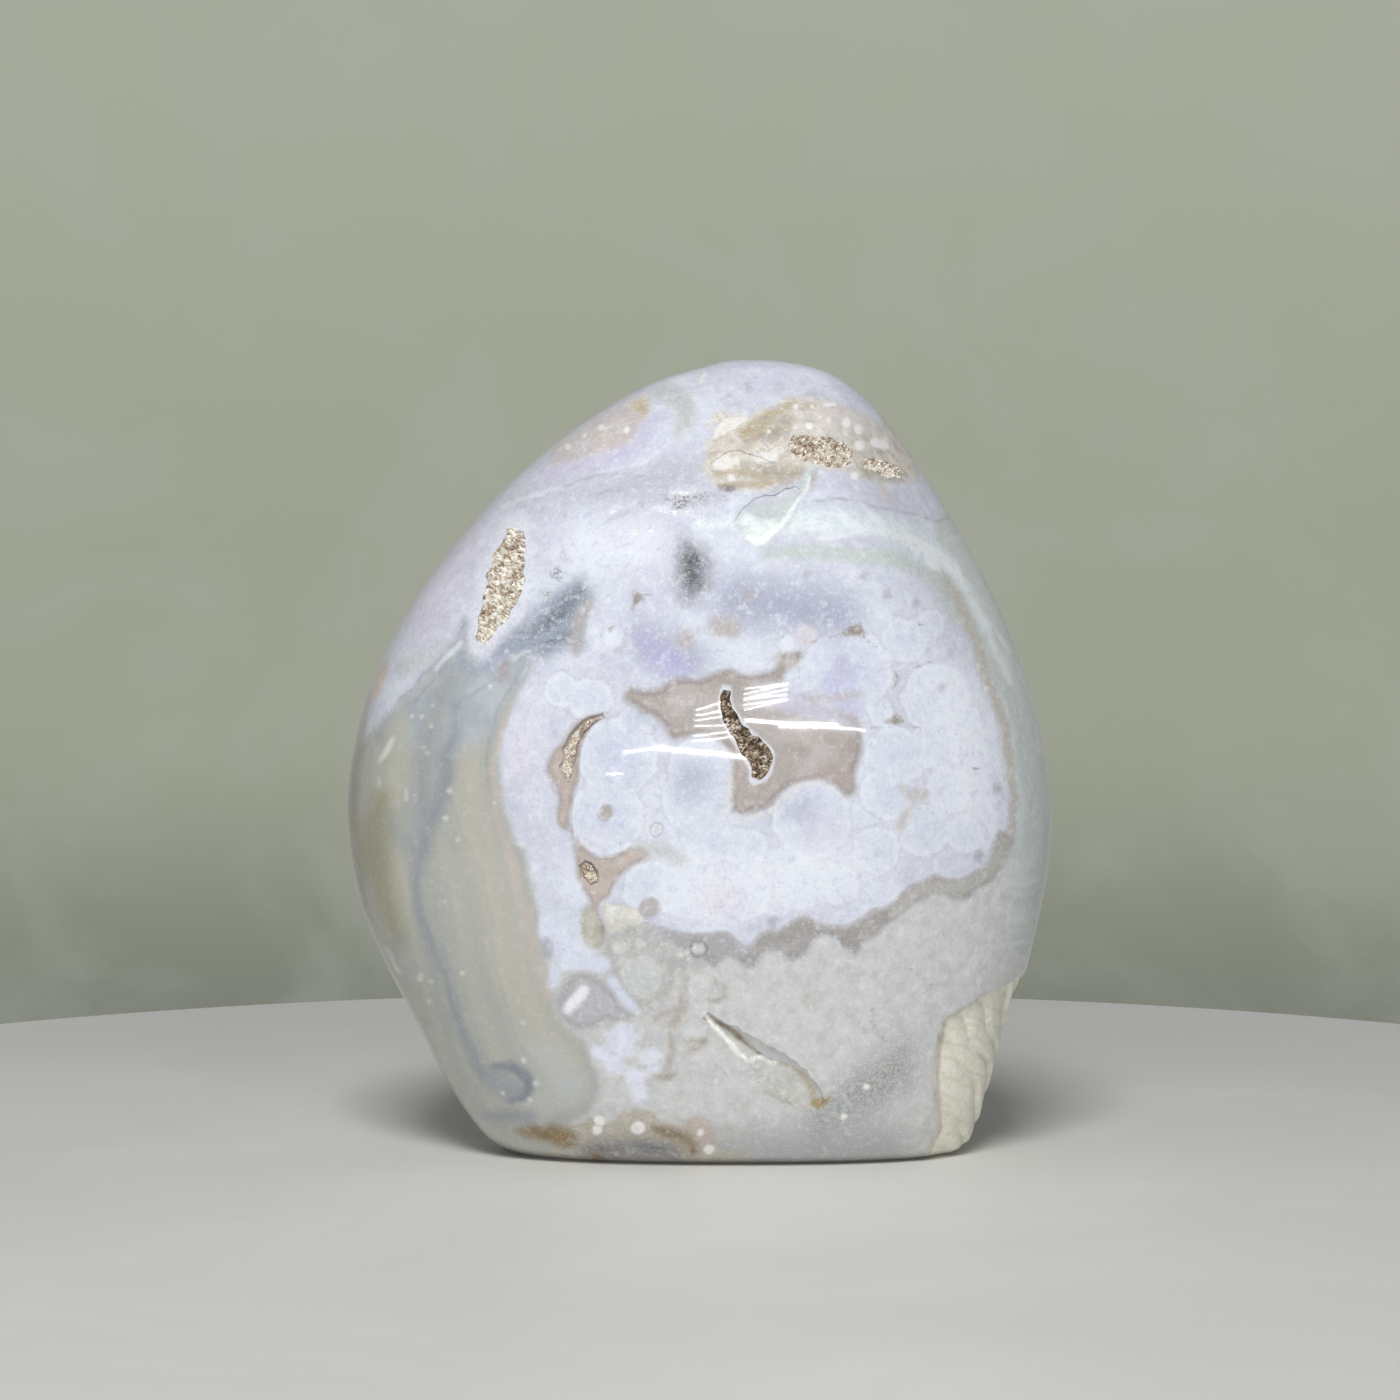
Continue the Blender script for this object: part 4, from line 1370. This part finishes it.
@dataclass(frozen=True)
class CrystalGrowth:
    """Geometry Nodes that seed a bed with small six-sided crystals."""

    sides: int = 6
    waist: float = 0.86
    tilt: float = 0.5
    least_scale: float = 0.55
    most_scale: float = 1.35
    facing: float = 0.25
    tree_name: str = "crystal_growth"

    def tree(self, material: bpy.types.Material) -> bpy.types.GeometryNodeTree:
        """The node tree, with named inputs for what differs from one hollow to the next."""
        tree = bpy.data.node_groups.new(self.tree_name, "GeometryNodeTree")
        face = tree.interface
        face.new_socket("Geometry", in_out="INPUT", socket_type="NodeSocketGeometry")
        for name in ("Crystal Width", "Crystal Height", "Spacing", "Tone"):
            face.new_socket(name, in_out="INPUT", socket_type="NodeSocketFloat")
        face.new_socket("Seed", in_out="INPUT", socket_type="NodeSocketInt")
        face.new_socket("Geometry", in_out="OUTPUT", socket_type="NodeSocketGeometry")

        def add(kind: str, feeds: dict, **settings: Any) -> bpy.types.Node:
            """Adds a node with its options, and a socket or value for each input."""
            node = tree.nodes.new(kind)
            for name, value in settings.items():
                setattr(node, name, value)
            for name, value in feeds.items():
                if isinstance(value, Socket):
                    tree.links.new(value, node.inputs[name])
                else:
                    node.inputs[name].default_value = value
            return node

        given = add("NodeGroupInput", {}).outputs
        normal = add("GeometryNodeInputNormal", {}).outputs[0]
        toward = add("ShaderNodeVectorMath", {0: normal, 1: (0.0, -1.0, 0.0)}, operation="DOT_PRODUCT")
        chosen = add("FunctionNodeCompare", {0: toward.outputs["Value"], 1: self.facing}, data_type="FLOAT",
                     operation="GREATER_THAN")
        spread = add("GeometryNodeDistributePointsOnFaces", {
            "Mesh": given["Geometry"], "Selection": chosen.outputs[0], "Distance Min": given["Spacing"],
            "Density Max": 6e7, "Seed": given["Seed"],
        }, distribute_method="POISSON")
        stem_width = add("ShaderNodeMath", {0: given["Crystal Width"], 1: 0.5}, operation="MULTIPLY").outputs[0]
        neck_width = add("ShaderNodeMath", {0: stem_width, 1: self.waist}, operation="MULTIPLY").outputs[0]
        stem = add("GeometryNodeMeshCone", {
            "Vertices": self.sides, "Side Segments": 1, "Radius Top": neck_width, "Radius Bottom": stem_width,
            "Depth": given["Crystal Height"],
        }, fill_type="NONE")
        point = add("GeometryNodeMeshCone", {
            "Vertices": self.sides, "Side Segments": 1, "Radius Top": 0.0, "Radius Bottom": neck_width,
            "Depth": given["Crystal Width"],
        }, fill_type="NONE")
        rise = add("ShaderNodeCombineXYZ", {2: given["Crystal Height"]})
        tip = add("GeometryNodeTransform", {"Geometry": point.outputs["Mesh"], "Translation": rise.outputs[0]})
        crystal = add("GeometryNodeJoinGeometry", {"Geometry": stem.outputs["Mesh"]})
        tree.links.new(tip.outputs[0], crystal.inputs[0])
        lean = add("FunctionNodeRandomValue", {
            0: (-self.tilt, -self.tilt, -math.pi), 1: (self.tilt, self.tilt, math.pi), "Seed": given["Seed"],
        }, data_type="FLOAT_VECTOR")
        turned = add("FunctionNodeRotateRotation", {
            "Rotation": spread.outputs["Rotation"], "Rotate By": lean.outputs[0],
        }, rotation_space="LOCAL")
        sizes = add("FunctionNodeRandomValue", {
            2: self.least_scale, 3: self.most_scale, "Seed": 5,
        }, data_type="FLOAT")
        grown = add("GeometryNodeInstanceOnPoints", {
            "Points": spread.outputs["Points"], "Instance": crystal.outputs[0], "Rotation": turned.outputs[0],
            "Scale": sizes.outputs[1],
        })
        shade = add("FunctionNodeRandomValue", {2: -0.62, 3: 0.4, "Seed": 9}, data_type="FLOAT")
        own = add("ShaderNodeMath", {0: shade.outputs[1], 1: given["Tone"]}, operation="ADD", use_clamp=True)
        toned = add("GeometryNodeStoreNamedAttribute", {
            "Geometry": grown.outputs[0], "Name": "tone", "Value": own.outputs[0],
        }, data_type="FLOAT", domain="INSTANCE")
        real = add("GeometryNodeRealizeInstances", {"Geometry": toned.outputs[0]})
        bed_tone = add("ShaderNodeMath", {0: given["Tone"], 1: -0.08}, operation="ADD", use_clamp=True)
        bed = add("GeometryNodeStoreNamedAttribute", {
            "Geometry": given["Geometry"], "Name": "tone", "Value": bed_tone.outputs[0],
        }, data_type="FLOAT", domain="POINT")
        whole = add("GeometryNodeJoinGeometry", {"Geometry": bed.outputs[0]})
        tree.links.new(real.outputs[0], whole.inputs[0])
        flat = add("GeometryNodeSetShadeSmooth", {"Geometry": whole.outputs[0], "Shade Smooth": False})
        dressed = add("GeometryNodeSetMaterial", {"Geometry": flat.outputs[0], "Material": material})
        add("NodeGroupOutput", {"Geometry": dressed.outputs[0]})
        return tree


@dataclass(frozen=True)
class DrusyCrust:
    """The crust of crystals that lines one hollow: a thin bed with crystals grown on it."""

    hollow: Hollow
    tree: bpy.types.GeometryNodeTree
    quarry: Quarry = Quarry()
    lumps: float = 0.45
    lump_scale: float = 1.3
    bed_sink: float = 0.25

    def bed(self, face: BVHTree) -> bpy.types.Object:
        """The closed body that the crystals stand on, sunk into the hollow's floor."""

        def outer(along: float, across: float, place: np.ndarray) -> float:
            """The bed's near sheet, lumpy and a share of the hollow's depth down."""
            lump = noise.noise(Vector((*place, 11.0)) * self.lump_scale) * self.lumps
            drop = self.hollow.depth * self.hollow.bed * self.quarry.bowl(along, across) * (1 + lump)
            return front(face, place) + drop

        def inner(along: float, across: float, place: np.ndarray) -> float:
            """The bed's far sheet."""
            return self.quarry.floor_of(face, self.hollow, (along, across, place)) + self.bed_sink

        lines = self.quarry.lines(self.hollow, self.hollow.inset)
        return to_object(f"{self.hollow.name}_crystals", self.quarry.between(lines, outer, inner))

    def build(self, face: BVHTree, seed: int) -> bpy.types.Object:
        """Grows the crust.

        Args:
            face: the stone's surface before the hollows were cut.
            seed: the seed of its crystals' places and turns.

        Returns:
            The crust as a plain mesh.
        """
        crust = self.bed(face)
        growth = crust.modifiers.new("growth", "NODES")
        growth.node_group = self.tree
        sizes = {
            "Crystal Width": self.hollow.crystal * MM, "Crystal Height": self.hollow.crystal * 0.6 * MM,
            "Spacing": self.hollow.spacing * 0.8 * MM, "Tone": self.hollow.tone, "Seed": seed,
        }
        for item in self.tree.interface.items_tree:
            if item.in_out == "INPUT" and item.name in sizes:
                growth[item.identifier] = sizes[item.name]
        settle(crust)
        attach(crust, "root")
        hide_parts(f"{self.hollow.name}_druse")
        return crust


@dataclass(frozen=True)
class Strip:
    """A thin lamp whose mirror image lies on the face between two photo pixels."""

    start: tuple
    end: tuple
    width: float
    radiance: float = 28.0


STRIPS = [
    Strip((624, 754), (666, 749), 3.5),
    Strip((655, 749), (746, 757), 6.0),
    Strip((745, 721), (800, 724), 6.0),
    Strip((778, 723), (838, 727), 9.5),
    Strip((790, 725), (865, 731), 4.0),
    Strip((608, 776), (624, 774), 2.6),
    *(Strip((690 + 1.6 * row, 739 - 5.4 * row), (735 - 2 * row, 738 - 7.4 * row), 2.4) for row in range(6)),
    *(Strip((742, 710.5 - 4.4 * row), (787, 701 - 3.9 * row), 2.2) for row in range(6)),
]


@dataclass(frozen=True)
class Studio:
    """The plain floor, the round backdrop, the soft light and the camera."""

    view: PhotoView = PhotoView()
    radius: float = 155.0
    wall_low: float = -300.0
    wall_top: float = 450.0
    wall_far: float = 430.0
    key_place: tuple = (-55.0, -560.0, 640.0)
    key_size: tuple = (260.0, 200.0)
    key_power: float = 5.0
    fill_place: tuple = (0.0, -800.0, 75.0)
    fill_size: tuple = (1300.0, 230.0)
    fill_power: float = 3.1
    top_place: tuple = (-40.0, -60.0, 800.0)
    top_size: tuple = (320.0, 220.0)
    top_power: float = 0.25
    back_place: tuple = (0.0, 800.0, 75.0)
    back_power: float = 1.6
    sky: float = 0.02
    mirrored_sky: float = 0.44
    sky_colour: tuple = (0.8, 0.82, 0.78, 1.0)
    strip_far: float = 500.0

    def lamp(self, name: str, place: Vector, target: Vector, size: tuple, power: float,
             roll: Optional[Vector] = None, mirrored: bool = False) -> bpy.types.Object:
        """A rectangular lamp at a place, turned to a target, in millimetres and watts."""
        light = bpy.data.lights.new(name, "AREA")
        light.shape, light.energy = "RECTANGLE", power
        light.size, light.size_y = size[0] * MM, size[1] * MM
        lamp = bpy.data.objects.new(name, light)
        back = (place - target).normalized()
        side = (roll or Vector((0, 0, 1)).cross(back)).normalized()
        side = (side - back * side.dot(back)).normalized()
        turn = Matrix((side, back.cross(side), back)).transposed().to_4x4()
        lamp.matrix_world = Matrix.Translation(place * MM) @ turn
        lamp.visible_glossy = mirrored
        bpy.context.scene.collection.objects.link(lamp)
        return lamp

    def strip(self, tree: BVHTree, strip: Strip, name: str) -> None:
        """Stands a thin lamp where the polished face mirrors it along the given pixels."""
        ends, hits = [], []
        for pixel in (strip.start, strip.end):
            ray = self.view.ray(pixel)
            hit, normal = tree.ray_cast(Vector(self.view.place) * MM, ray)[:2]
            ends.append(hit / MM + (ray - 2 * ray.dot(normal) * normal) * self.strip_far)
            hits.append(hit / MM)
        middle, target = (ends[0] + ends[1]) / 2, (hits[0] + hits[1]) / 2
        run = ends[1] - ends[0]
        power = strip.radiance * math.pi * run.length * strip.width * MM * MM
        lamp = self.lamp(name, middle, target, (run.length, strip.width), power, run, True)
        lamp.visible_diffuse = False

    def floor(self) -> bpy.types.Object:
        """The pale round board that the stone stands on."""
        mesh = bmesh.new()
        bmesh.ops.create_circle(mesh, cap_ends=True, segments=160, radius=self.radius * MM)
        floor = to_object("floor", mesh)
        canvas = NodeCanvas("floor")
        cloud = canvas.noise(60.0, 4.0, 0.6, 0.5)
        colour = canvas.mix(canvas.ramp(cloud, 0.35, 0.7), (226, 227, 222), (233, 233, 230))
        surface = canvas.node("ShaderNodeBsdfPrincipled", {"Base Color": colour, "Roughness": 0.5})
        floor.data.materials.append(canvas.finish(surface))
        return floor

    def backdrop(self) -> bpy.types.Object:
        """The round wall behind, seen from inside only."""
        mesh = bmesh.new()
        segments = 160
        rings = []
        for up in (self.wall_low, self.wall_top):
            turns = [2 * math.pi * step / segments for step in range(segments)]
            rings.append([mesh.verts.new(Vector((math.cos(turn) * self.wall_far, math.sin(turn) * self.wall_far,
                                                 up)) * MM) for turn in turns])
        for here in range(segments):
            there = (here + 1) % segments
            mesh.faces.new((rings[0][there], rings[0][here], rings[1][here], rings[1][there]))
        backdrop = to_object("backdrop", mesh)
        canvas = NodeCanvas("backdrop")
        height = canvas.node("ShaderNodeSeparateXYZ", {0: canvas.place}).outputs[2]
        colour = canvas.mix(canvas.ramp(height, -0.045, 0.04), (122, 126, 116), (156, 160, 144))
        colour = canvas.mix(canvas.ramp(height, 0.04, 0.24), colour, (167, 171, 156))
        cloud = canvas.noise(50.0, 4.0, 0.6, 0.6)
        colour = canvas.mix(canvas.ramp(cloud, 0.4, 0.7, 0.0, 0.25), colour, (172, 176, 166))
        glow = canvas.node("ShaderNodeEmission", {"Color": colour, "Strength": 1.0})
        clear = canvas.node("ShaderNodeBsdfTransparent")
        behind = canvas.node("ShaderNodeNewGeometry").outputs["Backfacing"]
        seen = canvas.node("ShaderNodeMixShader", {0: behind, 1: glow.outputs[0], 2: clear.outputs[0]})
        backdrop.data.materials.append(canvas.finish(seen))
        for ray in ("diffuse", "glossy", "transmission", "shadow", "volume_scatter"):
            setattr(backdrop, f"visible_{ray}", False)
        return backdrop

    def build(self, tree: BVHTree) -> None:
        """Sets the stage up round the stone."""
        self.floor()
        self.backdrop()
        world = bpy.data.worlds.new("world")
        world.use_nodes = True
        tree_of_world = world.node_tree
        sky = tree_of_world.nodes["Background"]
        sky.inputs[0].default_value = self.sky_colour
        glossy = tree_of_world.nodes.new("ShaderNodeLightPath").outputs["Is Glossy Ray"]
        strength = tree_of_world.nodes.new("ShaderNodeMapRange")
        strength.inputs["To Min"].default_value = self.sky
        strength.inputs["To Max"].default_value = self.mirrored_sky
        tree_of_world.links.new(glossy, strength.inputs["Value"])
        tree_of_world.links.new(strength.outputs[0], sky.inputs[1])
        bpy.context.scene.world = world
        target = Vector((0, 0, 40))
        self.lamp("key", Vector(self.key_place), target, self.key_size, self.key_power)
        self.lamp("fill", Vector(self.fill_place), target, self.fill_size, self.fill_power)
        self.lamp("top", Vector(self.top_place), target, self.top_size, self.top_power)
        self.lamp("back", Vector(self.back_place), target, self.fill_size, self.back_power)
        for number, strip in enumerate(STRIPS):
            self.strip(tree, strip, f"strip_{number}")
        self.view.make_camera()
        bpy.context.scene.view_settings.view_transform = "Standard"


def main() -> None:
    """Builds the dressed stone, its druses and the studio, and reports each piece."""
    logging.basicConfig(level=logging.INFO, format="%(name)s: %(message)s")
    stone, face = Stone().build()
    log.info("%s has %d faces", stone.name, len(stone.data.polygons))
    growth = CrystalGrowth().tree(QuartzDruse().material())
    for seed, hollow in enumerate(hollow for hollow in HOLLOWS if hollow.crystal):
        crust = DrusyCrust(hollow, growth).build(face, seed)
        log.info("%s has %d faces", crust.name, len(crust.data.polygons))
    Studio().build(face)
    log.info("the studio is up")


if __name__ == "__main__":
    main()
